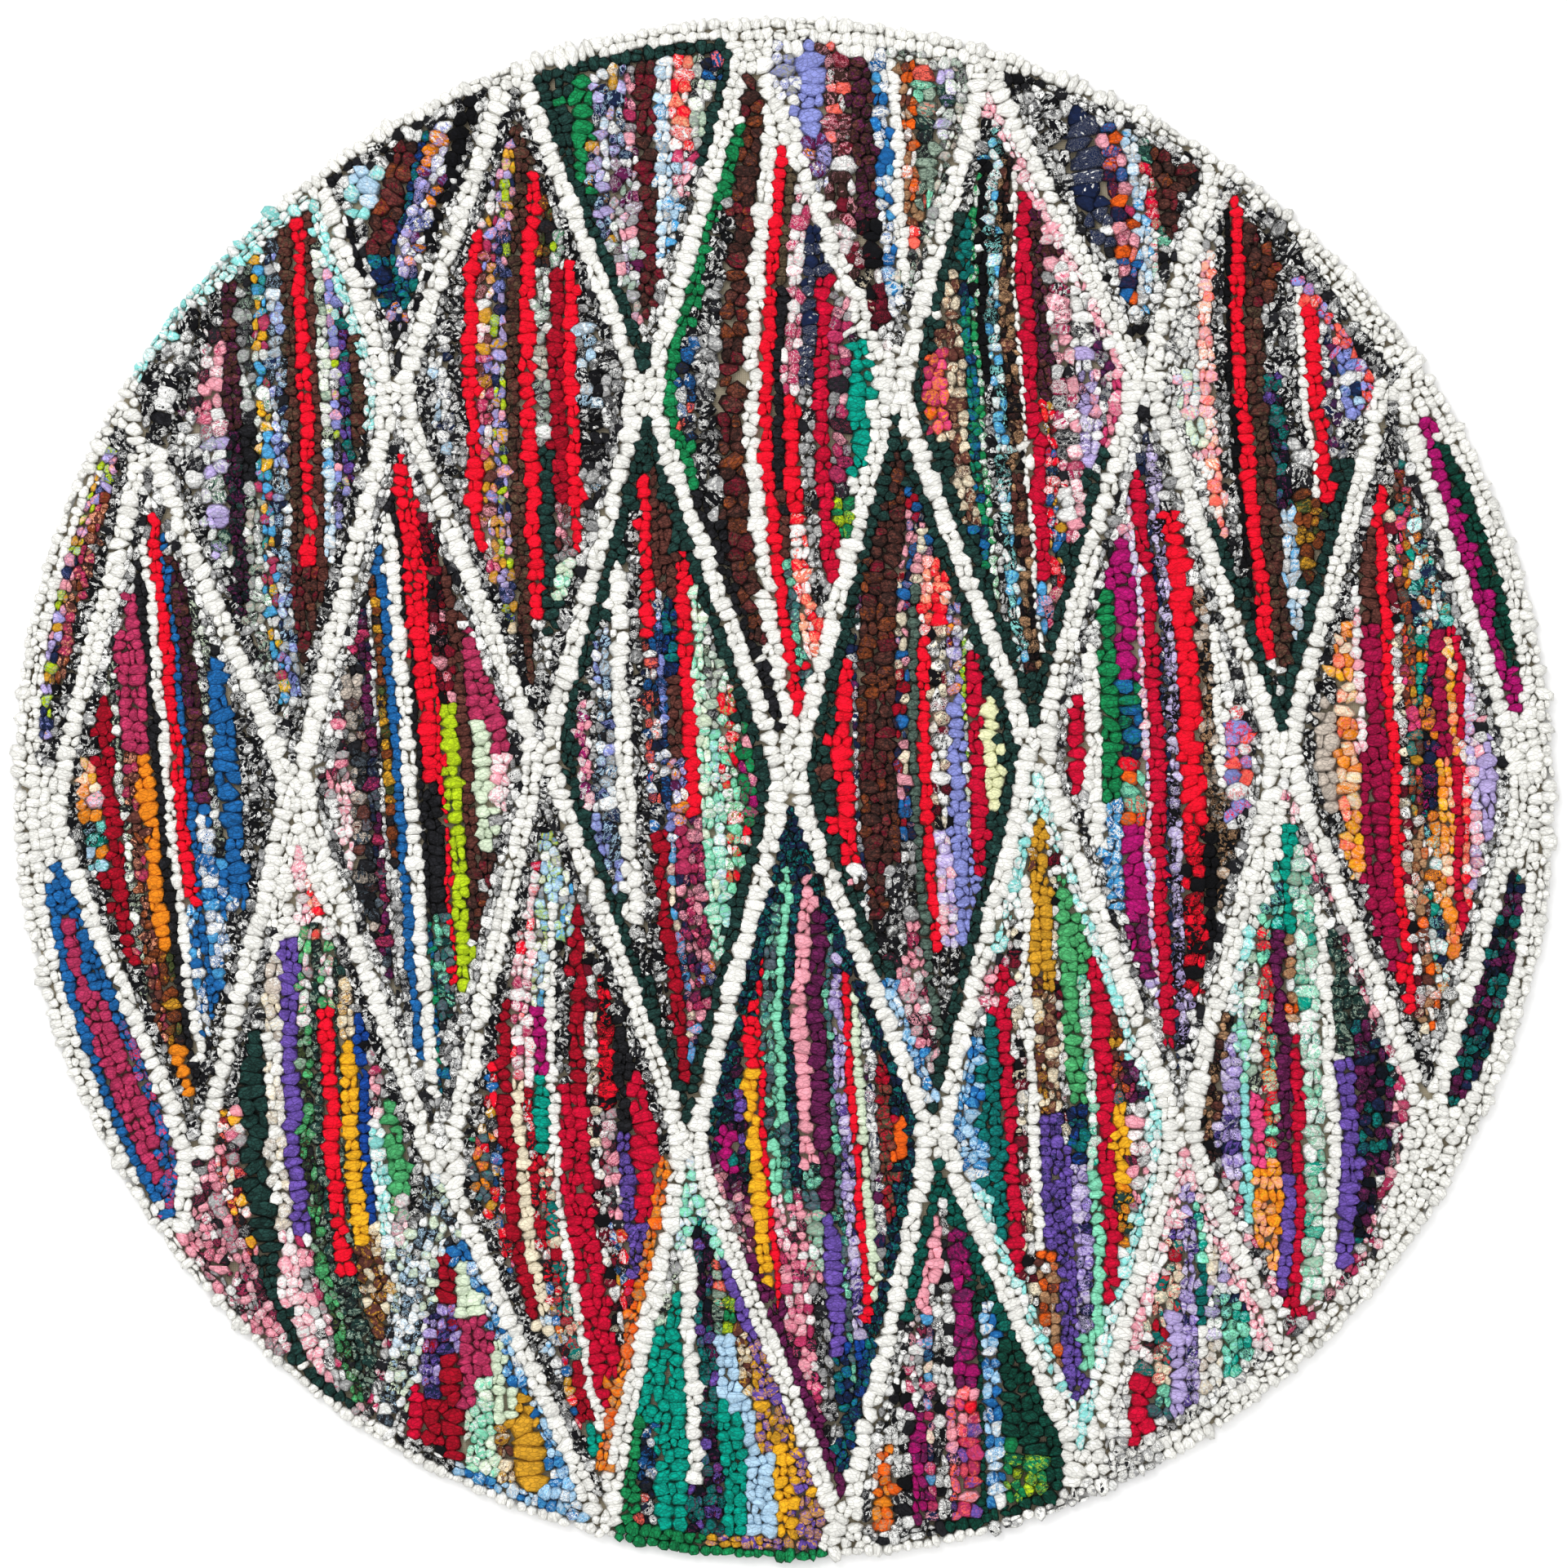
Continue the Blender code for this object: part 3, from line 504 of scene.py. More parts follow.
def crossings():
    """The crossings of each trellis row, as an array of points from left to right."""
    return [
        np.column_stack([first + pitch * np.arange(len(heights)), heights])
        for _, first, pitch, heights in TRELLIS_ROWS
    ]


def diamonds():
    """Each diamond's name and its four corners: top, left, right and bottom."""
    rows = crossings()
    found = {}
    for k in range(1, len(rows) - 1):
        for i in range(len(rows[k]) - 1):
            left, right = rows[k][i], rows[k][i + 1]
            tops, bottoms = (
                row[(row[:, 0] > left[0]) & (row[:, 0] < right[0])] for row in (rows[k - 1], rows[k + 1])
            )
            if len(tops) == 1 and len(bottoms) == 1:
                found[TRELLIS_ROWS[k][0], i] = (tops[0], left, right, bottoms[0])
    return found


def drawn_in(y, corner):
    """How far a trellis row is off its straight line at height y because of the crossing at this corner: a
    hyperbola, KISS at the crossing and fading away from it."""
    away = BEND * np.abs(y - corner[1])
    return np.sqrt(away * away + KISS * KISS) - away


def side_x(corners, y, sign):
    """x, at height y, of the middle of the trellis row on a diamond's left (sign +1) or right (-1) side."""
    top, left, right, bottom = corners
    corner = left if sign > 0 else right
    straight = np.interp(y, [bottom[1], corner[1], top[1]], [bottom[0], corner[0], top[0]])
    return straight + sign * (drawn_in(y, corner) - drawn_in(y, top) - drawn_in(y, bottom))


def edges():
    """The middle line of every trellis row between two crossings, from the upper one to the lower, and its
    cloth."""
    rows = crossings()
    lines = []
    for (name, *_), upper, lower in zip(TRELLIS_ROWS, rows, rows[1:]):
        for number, start in enumerate(upper):
            for end in lower[np.abs(lower[:, 0] - start[0]) < CROSSING_REACH]:
                sign = np.sign(end[0] - start[0])
                y = np.arange(start[1], end[1], -FINE_STEP)
                x = start[0] + (end[0] - start[0]) * (start[1] - y) / (start[1] - end[1])
                x = x + sign * (drawn_in(y, start) - drawn_in(y, end))
                cloth = OTHER_TRELLIS.get((name, number, "left" if sign < 0 else "right"), "ivory")
                lines.append((np.column_stack([x, y]), cloth))
    return lines


# Laying loops along rows

CLOTHS = list(DYES) + list(RAGS)
NO_CLOTH = -1


def number_of(cloth):
    """A cloth's place in the list of cloths, which stands for it in the arrays of loops."""
    return CLOTHS.index(cloth)


def walk(path, pitch):
    """Places, headings and lengths of the loops along a path: steps of about one pitch, some long and some
    short, stretched so that they fill the path."""
    legs = np.hypot(*np.diff(path, axis=0).T)
    run = np.concatenate([[0], np.cumsum(legs)])
    count = max(int(round(run[-1] / pitch)), 1)
    steps = random.uniform(*STEPS, count)
    steps *= run[-1] / steps.sum()
    middle = np.cumsum(steps) - steps / 2
    place = np.column_stack([np.interp(middle, run, path[:, k]) for k in (0, 1)])
    slope = np.gradient(path, axis=0)
    heading = np.interp(middle, run, np.unwrap(np.arctan2(slope[:, 1], slope[:, 0])))
    return place, heading, steps


def bed(place, heading, across, along, cloth, base=PILE_BASE):
    """One row's loops as an array: x, y, heading, half size across the row and along it, cloth and base."""
    columns = [place[:, 0], place[:, 1], heading, across, along, cloth, base]
    return np.column_stack([np.broadcast_to(column, len(place)) for column in columns])


def stretches(inside):
    """The runs of neighbouring points for which inside is true."""
    found = np.flatnonzero(inside)
    return [run for run in np.split(found, np.flatnonzero(np.diff(found) > 1) + 1) if len(run) >= SHORTEST]


def pitch_of(width):
    """Length of a row's loops: wide rows are punched with longer ones than narrow rows."""
    return LOOP_PITCH - PITCH_LESS + PITCH_GAIN * width


def lay(path, width, cloth):
    """One row of loops, all of the same width and cloth, along a path."""
    place, heading, steps = walk(path, pitch_of(width))
    return bed(place, heading, width / 2, steps / 2, number_of(cloth))


def round_path(inset, angles):
    """A path along the rim, this far in from it."""
    radius = rim_radius(angles) - inset
    return np.column_stack([radius * np.cos(angles), radius * np.sin(angles)])


def border_rows():
    """The border: one ring of loops where it is narrow and two where it is wide, mostly ivory."""
    angles = np.arange(-math.pi, math.pi, FINE_STEP / RIM)
    width = border_width(angles)
    double = width > TWO_RINGS
    row_width = np.where(double, width / 2, width)
    rows = []
    for number in (0, 1):
        path = round_path(row_width * (number + 0.5), angles)
        place, heading, steps = walk(path, pitch_of(OUTLINE))
        at = angle_of(place)
        half = np.interp(at, angles, row_width) / 2
        cloth = np.full(len(at), number_of("ivory"))
        for start, end, name in BORDER_CLOTHS:
            here = (np.degrees(at) > start) & (np.degrees(at) < end)
            cloth[here] = number_of(name)
        base = RIM_BASE if number == 0 else PILE_BASE
        row = bed(place, heading, half, steps / 2, cloth, base)
        rows.append(row[(number == 0) | (np.interp(at, angles, double) > 0.5)])
    return rows


def trellis_rows():
    """The trellis: wide loops, mostly ivory, with stretches of two rows of small ones."""
    rows = []
    width = 2 * TRELLIS_HALF * TRELLIS_FULL
    for line, cloth in edges():
        line = line[depth_inside(line) > border_width(angle_of(line)) + END_GAP * LOOP_PITCH]
        if len(line) < TRELLIS_LEAST:
            continue
        start, end = np.sort(random.uniform(0, 1, 2)) * random.choice([0, 1], p=DOUBLED)
        first, last = int(start * len(line)), int(end * len(line))
        if last - first < DOUBLED_LEAST:
            rows.append(lay(line, width, cloth))
            continue
        for part in (line[:first], line[last:]):
            if len(part) >= TRELLIS_LEAST:
                rows.append(lay(part, width, cloth))
        for sign in (-1, 1):
            rows.append(lay(line[first:last] + np.array([sign * TRELLIS_HALF / 2, 0]), TRELLIS_HALF, cloth))
    return rows


def cloth_at(words, level):
    """The cloth at each level, from a list of cloths with the levels where they change between them."""
    cloths = np.array([NO_CLOTH if name == "-" else number_of(name) for name in words[::2]])
    return cloths[np.searchsorted(np.array(words[1::2], float), level)]


def outline_cloth(sides, corners, place):
    """The cloth of each loop of a diamond's outline: the left side's or the right side's at its level."""
    top, _, _, bottom = corners
    axis = np.interp(place[:, 1], [bottom[1], top[1]], [bottom[0], top[0]])
    level = (top[1] - place[:, 1]) / (top[1] - bottom[1])
    on_left, on_right = (cloth_at(text.split(), level) for text in sides)
    return np.where(place[:, 0] < axis, on_left, on_right)


def room_at_rim(points):
    """How far each point lies in from the border."""
    return depth_inside(points) - border_width(angle_of(points))


def outline_rows(corners, sides):
    """The row of loops along the inside of a diamond's sides, as far as they lie inside the border."""
    top, _, _, bottom = corners
    y = np.arange(top[1], bottom[1], -FINE_STEP)
    low = side_x(corners, y, 1) + TRELLIS_HALF
    high = side_x(corners, y, -1) - TRELLIS_HALF
    gap = high - low
    wide = gap > TWO_OUTLINES * OUTLINE
    lines = [
        (low + OUTLINE / 2, wide),
        (high - OUTLINE / 2, wide),
        ((low + high) / 2, (gap > ONE_OUTLINE * OUTLINE) & ~wide),
    ]
    rows = []
    for x, inside in lines:
        points = np.column_stack([x, y])
        for run in stretches(inside & (room_at_rim(points) > OUTLINE_AT_RIM * OUTLINE)):
            place, heading, steps = walk(points[run], pitch_of(OUTLINE))
            half = np.interp(-place[:, 1], -y, np.minimum(gap, OUTLINE)) / 2
            cloth = outline_cloth(sides, corners, place)
            rows.append(bed(place, heading, half, steps / 2, cloth)[cloth != NO_CLOTH])
    return rows


def rim_rings(corners, rings, sides=(), margin=0.0):
    """Rings of loops inside the border, as far as they lie in a diamond and the margin in from its sides.
    Each ring has its width and cloth, or takes the cloths of the diamond's two sides. The angles start on
    the side of the rug that the diamond isn't on."""
    angles = np.arange(-math.pi, math.pi, FINE_STEP / RIM) + math.pi * (corners[0][0] < 0)
    angles = np.where(angles > math.pi, angles - 2 * math.pi, angles)
    inset = border_width(angles)
    rows = []
    for width, cloth in rings:
        points = round_path(inset + width / 2, angles)
        inset = inset + width
        x, y = points.T
        inside = (
            (y < corners[0][1])
            & (y > corners[3][1])
            & (x > side_x(corners, y, 1) + TRELLIS_HALF + margin + END_GAP * width)
            & (x < side_x(corners, y, -1) - TRELLIS_HALF - margin - END_GAP * width)
        )
        for run in stretches(inside):
            place, heading, steps = walk(points[run], pitch_of(width))
            number = np.full(len(place), number_of(cloth)) if cloth else outline_cloth(sides, corners, place)
            rows.append(bed(place, heading, width / 2, steps / 2, number)[number != NO_CLOTH])
    return rows


def wander(y, most):
    """A slow drift along a row: two sine waves of random length and start."""
    length, start = random.uniform(*WAVES, 2), random.uniform(0, 2 * math.pi, 2)
    return most / 2 * np.sin(2 * math.pi * y[:, None] / length + start).sum(1)


def field_rows(corners, first, lean, sides, plan):
    """The rows that fill a diamond, from left to right as its plan gives them. A row's middle lies off the
    diamond's axis by the row's own distance plus the lean, times a spread that falls to 1 - NARROWING at
    the two points. Where there is no outline the rows reach the trellis."""
    top, _, _, bottom = corners
    y = np.arange(top[1], bottom[1], -FINE_STEP)
    level = (top[1] - y) / (top[1] - bottom[1])
    axis = top[0] + (bottom[0] - top[0]) * level
    spread = 1 - NARROWING * (2 * level - 1) ** 2
    low = side_x(corners, y, 1) + TRELLIS_HALF + OUTLINE
    high = side_x(corners, y, -1) - TRELLIS_HALF - OUTLINE
    leftmost = ((low - axis) / spread).min()
    rightmost = ((high - axis) / spread).max()
    column = (rightmost - leftmost) / COLUMNS
    edge = leftmost + first * column
    if lean:
        edge = edge + column * np.interp(level, *np.array(lean).T)
    bare = [cloth_at(text.split(), level) == NO_CLOTH for text in sides]
    low = low - OUTLINE * bare[0]
    high = high + OUTLINE * bare[1]
    rows = []
    for row in plan.split("|"):
        words = row.split()
        width = float(words[0]) * column
        points = np.column_stack([axis + (edge + width / 2) * spread + wander(y, WANDER), y])
        edge = edge + width
        half = width / 2 * spread * (1 + wander(y, SWELL))
        room = np.minimum(points[:, 0] - low, high - points[:, 0])
        for run in stretches((room > 0) & (room_at_rim(points) > OUTLINE)):
            place, heading, steps = walk(points[run], pitch_of(width))
            down = np.interp(-place[:, 1], -y, level)
            down = down + random.uniform(-CHANGE_SPREAD, CHANGE_SPREAD, len(place))
            across = np.interp(-place[:, 1], -y, np.minimum(half, SQUEEZE * half + room))
            rows.append(bed(place, heading, across, steps / 2, cloth_at(words[1:], down)))
    return rows


def dye_table():
    """Each cloth's patch size, share of other dyes, fold darkness and its dyes, as arrays. A cloth with fewer
    dyes repeats them after its first."""
    facts, dyes = [], []
    for name in CLOTHS:
        size, spots, fold_shade, text = RAGS.get(name, (*PLAIN, name))
        own = [linear(DYES[word]) for word in text.split()]
        others = own[1:] or own
        dyes.append([own[0]] + [others[k % len(others)] for k in range(MOST_DYES - 1)])
        facts.append((size * MM, spots, fold_shade))
    return np.array(facts), np.array(dyes)


FACTS, RAG_DYES = dye_table()


# Loops that aren't in the plan

SPLIT_WIDTH = 0.0043  # half width above which a loop may be two lumps side by side
SPLIT_SHARE = (0.30, 0.75)  # how many are, on plain cloth and on the busiest print
BUSIEST = 0.6  # share of other dyes on the busiest print
SPLIT_AT = (0.36, 0.64)  # where the two part, as a share of the loop's width
SPLIT_SLIP = 0.35  # how far each slips along the row, as a share of its half length

STRAY = 0.18  # how far a loop sits out of line, as a share of its half size
TWIST = 0.18  # and how far it is turned, in radians
FULLNESS = (
    # column of the loops' array, how much the loops vary in it, the least and the most
    (3, 0.25, 0.6, 1.6),
    (4, 0.14, 0.7, 1.4),
)

GRID = 0.0025  # a cell of the grid on which open places are found
GRID_SPARE = 20  # cells that the grid has more than the rug needs
FILLER = 0.0048  # half size of a loop put into a place that the rows leave open
FILLER_ACROSS = (0.85, 1.20)  # its least and its greatest half width, and half length, in that size
FILLER_ALONG = (0.75, 1.00)
FILLER_REACH = 1.16  # the rows' loops swell this far into open places by themselves
FILLER_WINDOW = 2  # cells on every side of a place that count as its room
FILLER_CELLS = 6  # open cells there that call for another loop
FILLER_INSET = 0.004  # none lies nearer to the rim
FILLER_OFF = 0.0008  # how far it lies off the middle of its cell
FILLER_CHOICE = 3  # it is of the cloth of one of so many nearest loops
STRIPS = 60  # nearest loops are looked for in so many strips of the rug,
NEIGHBOURHOOD = 0.045  # up to this far on both sides of the strip


def off_row(aside, along, heading):
    """A step to the left of a row's heading and along it, in x and y."""
    x = along * np.cos(heading) - aside * np.sin(heading)
    y = along * np.sin(heading) + aside * np.cos(heading)
    return np.stack([x, y], -1)


def on_row(x, y, heading):
    """The other way round: how far a step in x and y goes to the left of a row's heading, and along it."""
    return y * np.cos(heading) - x * np.sin(heading), x * np.cos(heading) + y * np.sin(heading)


def split(rows):
    """Turns some wide loops into two lumps side by side, a little apart along the row."""
    spots = FACTS[rows[:, 5].astype(int), 1]
    chance = SPLIT_SHARE[0] + (SPLIT_SHARE[1] - SPLIT_SHARE[0]) * spots / BUSIEST
    two = (rows[:, 3] > SPLIT_WIDTH) & (random.random(len(rows)) < chance)
    whole, parts = rows[~two], rows[two]
    share = random.uniform(*SPLIT_AT, len(parts))
    pieces = [whole]
    for sign, part in ((-1, share), (1, 1 - share)):
        lump = parts.copy()
        aside = sign * parts[:, 3] * (1 - part)
        along = random.uniform(-SPLIT_SLIP, SPLIT_SLIP, len(parts)) * parts[:, 4]
        lump[:, :2] += off_row(aside, along, parts[:, 2])
        lump[:, 3] = parts[:, 3] * part
        pieces.append(lump)
    return np.concatenate(pieces)


def stray(rows):
    """No loop sits quite in line, and some are fuller than others."""
    moved = rows.copy()
    aside, along = random.normal(0, STRAY, (2, len(rows))) * rows[:, 3:5].T
    moved[:, :2] += off_row(aside, along, rows[:, 2])
    moved[:, 2] += random.normal(0, TWIST, len(rows))
    for column, spread, least, most in FULLNESS:
        moved[:, column] *= np.clip(random.normal(1.0, spread, len(rows)), least, most)
    return moved


def covered_cells(rows, side):
    """A grid over the rug that says which cells lie under a loop."""
    covered = np.zeros((side, side), bool)
    half = side // 2
    for x, y, heading, across, along, *_ in rows:
        reach = int(FILLER_REACH * max(across, along) / GRID) + 1
        steps = np.arange(-reach, reach + 1)
        i, j = np.meshgrid(int(x / GRID) + half + steps, int(y / GRID) + half + steps, indexing="ij")
        s, t = on_row((i + 0.5 - half) * GRID - x, (j + 0.5 - half) * GRID - y, heading)
        s = s / (FILLER_REACH * across)
        t = t / (FILLER_REACH * along)
        hit = s * s + t * t < 1
        covered[i[hit], j[hit]] = True
    return covered


def nearest_loops(places, rows, count):
    """The numbers of the loops nearest to each place, found strip by strip across the rug."""
    found = np.empty((len(places), count), int)
    for part in np.array_split(np.argsort(places[:, 0]), STRIPS):
        low, high = places[part, 0].min() - NEIGHBOURHOOD, places[part, 0].max() + NEIGHBOURHOOD
        strip = np.flatnonzero((rows[:, 0] > low) & (rows[:, 0] < high))
        apart = ((places[part, None] - rows[strip, :2]) ** 2).sum(2)
        found[part] = strip[np.argpartition(apart, count, 1)[:, :count]]
    return found


def fillers(rows):
    """Odd loops in the places that the rows leave open, the widest first, each of the cloth of a loop near
    by. Returns them with the number of that loop."""
    side = 2 * int(RIM / GRID) + GRID_SPARE
    middle = (np.arange(side) + 0.5 - side // 2) * GRID
    x, y = np.meshgrid(middle, middle, indexing="ij")
    inside = depth_inside(np.stack([x.ravel(), y.ravel()], 1)).reshape(side, side) > FILLER_INSET
    bare = inside & ~covered_cells(rows, side)
    window = FILLER_WINDOW
    padded = np.pad(bare.astype(float), window)
    total = sum(
        padded[window + i : window + i + side, window + j : window + j + side]
        for i in range(-window, window + 1)
        for j in range(-window, window + 1)
    )
    room = (total * bare).ravel()
    order = np.argsort(-room, kind="stable")
    found = []
    for cell in order[room[order] >= FILLER_CELLS]:
        i, j = divmod(int(cell), side)
        if bare[i, j]:
            found.append((x[i, j], y[i, j]))
            bare[i - window : i + window + 1, j - window : j + window + 1] = False
    found = np.array(found) + random.uniform(-FILLER_OFF, FILLER_OFF, (len(found), 2))
    near = nearest_loops(found, rows, FILLER_CHOICE)
    chosen = near[np.arange(len(found)), random.integers(0, FILLER_CHOICE, len(found))]
    made = rows[chosen].copy()
    made[:, :2] = found
    made[:, 3] = FILLER * random.uniform(*FILLER_ACROSS, len(made))
    made[:, 4] = FILLER * random.uniform(*FILLER_ALONG, len(made))
    return made, chosen


# The loops as meshes

SIDES_OF_LOOP = 9
SIDE_SPREAD = 0.25  # the directions of its sides are off by up to this share of the angle between two
NEIGHBOURS = 16  # loops that may press on a loop
SLANT = 0.45  # how far the line on which two loops meet is turned, in radians, and the most that it may be
SLANT_MOST = 0.7
TOO_CLOSE = 1e-5  # loops at the same place
FACING_LEAST = 0.05  # a line seen more nearly edge on than this doesn't stop a loop
FAR_AWAY = 1.0  # past anything that could press on a loop
LOOSE = 1.30  # where nothing presses on it, a loop swells to this many times its own size
LOOSE_AT_RIM = 1.0
TOP_OFF = 0.8  # how far the top's middle may lie towards the ring below it
HEIGHT_SPREAD = 0.05  # how much the points of a loop vary in height, and whole loops
RISE_SPREAD = 0.08
SMALL_LOOP = 0.90  # share of the full height that the smallest loop would have
FULL_LOOP = 0.10  # and what is added to it for a loop as wide as its pitch

# Rings round a loop, from the canvas up, then the middle of its top
LOOP_PROFILE = (
    # share of its reach and of its height, how far out on the loop's own map, unevenness, and how near to the
    # seam, which sets where the seam's painted shade falls
    (1.00, 0.00, 0.46, 0.02, 1.20),
    (1.24, 0.56, 0.41, 0.07, 1.20),
    (0.90, 0.95, 0.29, 0.09, 0.88),
    (0.00, 1.00, 0.00, 0.00, 0.00),
)
BOTTOM_SPOT = 0.04  # middle and radius, on the loop's own map, of the face on the canvas
BOTTOM_SPOT_RADIUS = 0.03

# Colour, print and folds of each loop
TONE_SPREAD = 0.04  # how much brighter or darker loops of one cloth are, and how much more so on prints
TONE_SPREAD_PRINT = 0.10
SECOND_DYE = (0.5, 1.3)  # what the second and the third dye cover, as a share of the cloth's other dyes
THIRD_DYE = (0.4, 1.1)
STREAK = 2.0  # a patch of print is longer one way than the other
SHIFT_FAR = 50.0  # each loop reads the patterns at a place of its own
# the most that a cloth's painted fold shade is multiplied by
FOLD_PAINTED_SHADE_MOST = 2.4

# How strong the painted shade of seams and folds and the painted light and shade of facets are on the darkest
# and on the lightest cloth
SEAM_PAINTED_SHADE = (0.92, 0.10)  # painted shade: how much darker the seams between loops are painted
FACET_PAINTED_LIGHT = (0.80, 0.09)  # painted light and shade: how much lighter or darker the facets of crumpled cloth are painted
FOLD_PAINTED_SHADE = (2.6, 0.20)  # painted shade in folds and creases, times the cloth's own


def half_size(rows, way):
    """A loop's half size towards a direction, as that of an ellipse that lies across and along its row."""
    s, t = on_row(way[..., 0], way[..., 1], rows[..., 2])
    return 1 / np.hypot(s / rows[..., 3], t / rows[..., 4])


def outlines(rows):
    """The directions round each loop, and how far it reaches in each. Two loops meet on a line across the one
    between their middles, more or less slanted, which cuts it in proportion to their half sizes. A loop
    reaches as far as the first such line that it comes to."""
    near = nearest_loops(rows[:, :2], rows, NEIGHBOURS + 1)
    away = rows[near, :2] - rows[:, None, :2]
    distance = np.hypot(away[..., 0], away[..., 1])
    itself = near == np.arange(len(rows))[:, None]
    towards = away / np.where(itself, 1, np.maximum(distance, TOO_CLOSE))[..., None]
    safe = np.where(itself[..., None], np.array([1.0, 0.0]), towards)
    slant = random.normal(0, SLANT, len(rows))
    slant = np.clip((slant[:, None] + slant[near]) / 2, -SLANT_MOST, SLANT_MOST)
    mine = half_size(rows[:, None], safe)
    theirs = half_size(rows[near], safe)
    line = np.where(itself, FAR_AWAY, distance * mine / (mine + theirs))

    off = random.uniform(-SIDE_SPREAD, SIDE_SPREAD, (len(rows), SIDES_OF_LOOP))
    turn = (np.arange(SIDES_OF_LOOP) + off) * (2 * math.pi / SIDES_OF_LOOP)
    way = off_row(rows[:, 3, None] * np.cos(turn), rows[:, 4, None] * np.sin(turn), rows[:, 2, None])
    way /= np.hypot(way[..., 0], way[..., 1])[..., None]
    slanted = off_row(safe[..., 1], safe[..., 0], slant)
    facing = np.einsum("nkc,nmc->nkm", way, slanted)
    line = line * np.cos(slant)
    meets = np.where(facing > FACING_LEAST, line[:, None] / np.maximum(facing, FACING_LEAST), FAR_AWAY)
    loose = np.where(rows[:, 6] < PILE_BASE, LOOSE_AT_RIM, LOOSE)[:, None]
    return way, np.minimum(meets.min(2), loose * half_size(rows[:, None], way))


def loop_faces():
    """A loop's faces as lists of its points and of their places in its own map: one face on the canvas, quads
    between the rings and a fan of triangles on top. The middle of the top is the last point."""
    k = SIDES_OF_LOOP
    rings = len(LOOP_PROFILE) - 1
    turn = np.arange(k) * 2 * math.pi / k
    spots = [[0.5 + far * np.cos(turn), 0.5 + far * np.sin(turn)] for _, _, far, *_ in LOOP_PROFILE]
    faces = [list(range(k))[::-1]]
    low = BOTTOM_SPOT + BOTTOM_SPOT_RADIUS * np.stack([np.cos(turn), np.sin(turn)], 1)
    places = [low[::-1].tolist()]
    for i in range(rings - 1):
        for j in range(k):
            after = (j + 1) % k
            corners = ((i, j), (i, after), (i + 1, after), (i + 1, j))
            faces.append([ring * k + point for ring, point in corners])
            places.append([(spots[ring][0][point], spots[ring][1][point]) for ring, point in corners])
    x, y = spots[rings - 1]
    for j in range(k):
        after = (j + 1) % k
        faces.append([(rings - 1) * k + j, (rings - 1) * k + after, rings * k])
        places.append([(x[j], y[j]), (x[after], y[after]), (0.5, 0.5)])
    return faces, places


def loop_points(rows, way, reach):
    """Where the points of every loop lie, in the rug and on the loop itself, and how near to the seam, which
    sets where the seam's painted shade falls: rings that follow its outline, drawn in and raised as
    LOOP_PROFILE gives, each point a little off at random, and the middle of the top."""
    n = len(rows)
    share, height, _, uneven, seam_shade = np.array(LOOP_PROFILE).T
    ringed = (n, len(share) - 1, SIDES_OF_LOOP)
    share = share[None, :-1, None] * random.normal(1.0, uneven[None, :-1, None], ringed)
    height = height[None, :-1, None] * random.normal(1.0, HEIGHT_SPREAD, ringed)
    flat = way[:, None] * (reach[:, None] * share)[..., None]
    top = (flat[:, -1] * random.dirichlet(np.ones(SIDES_OF_LOOP), n)[..., None]).sum(1) * TOP_OFF
    flat = np.concatenate([flat.reshape(n, -1, 2), top[:, None]], 1)
    height = np.concatenate([height.reshape(n, -1), random.normal(1.0, HEIGHT_SPREAD, (n, 1))], 1)
    full = SMALL_LOOP + FULL_LOOP * np.sqrt(reach.min(1) / (LOOP_PITCH / 2))
    full = np.clip(full, SMALL_LOOP, 1.0)[:, None]
    rise = (PILE_RISE + PILE_BASE - rows[:, 6, None]) * full * random.normal(1.0, RISE_SPREAD, (n, 1))
    place = np.concatenate([rows[:, None, :2] + flat, (rows[:, 6, None] + rise * height)[..., None]], 2)
    s, t = on_row(flat[..., 0], flat[..., 1], rows[:, 2, None])
    # out: the profile's seam value at each point, which the material reads to paint the seam's shade
    out = np.append(np.repeat(seam_shade[:-1], SIDES_OF_LOOP), seam_shade[-1])
    return place, np.stack([s, t, rise * height], 2), np.broadcast_to(out, (n, len(out)))


def between(ends, brightness):
    """A strength for each loop, from the darkest cloth's to the lightest's, by the root of its brightness."""
    dark, light = ends
    return dark - (dark - light) * brightness ** 0.5


def dye_loops(rows):
    """The dyes and the print of every loop. A loop's ground is its cloth's first dye. On prints, as many
    loops as the other dyes' share have one of those for it, with patches of the first. It also gives how dark
    the seams and folds of each loop are painted as shade, and how much its facets are painted lighter or
    darker."""
    n = len(rows)
    cloth = rows[:, 5].astype(int)
    size, spots, fold_shade = FACTS[cloth].T
    picks = random.integers(1, MOST_DYES, (3, n))
    other_ground = random.random(n) < spots
    picks[0] = np.where(other_ground, picks[0], 0)
    picks[1] = np.where(other_ground, 0, picks[1])
    strength = random.normal(1.0, TONE_SPREAD + TONE_SPREAD_PRINT * spots, n)[None, :, None]
    strength = strength * random.normal(1.0, TONE_SPREAD, (3, n, 1))
    dyes = RAG_DYES[cloth[None, :], picks] * strength
    dye = RAG_DYES[cloth].mean(1)
    brightness = (dye.max(1) + dye.mean(1)) / 2
    fold_shade = fold_shade * np.clip(between(FOLD_PAINTED_SHADE, brightness), 0, FOLD_PAINTED_SHADE_MOST)
    second, third = (spots * random.uniform(*ends, n) for ends in (SECOND_DYE, THIRD_DYE))
    # what the second and the third dye cover, and how dark the folds and creases are painted as shade
    share = np.stack([second, third, fold_shade], 1)
    return dyes, share, between(SEAM_PAINTED_SHADE, brightness), between(FACET_PAINTED_LIGHT, brightness), size


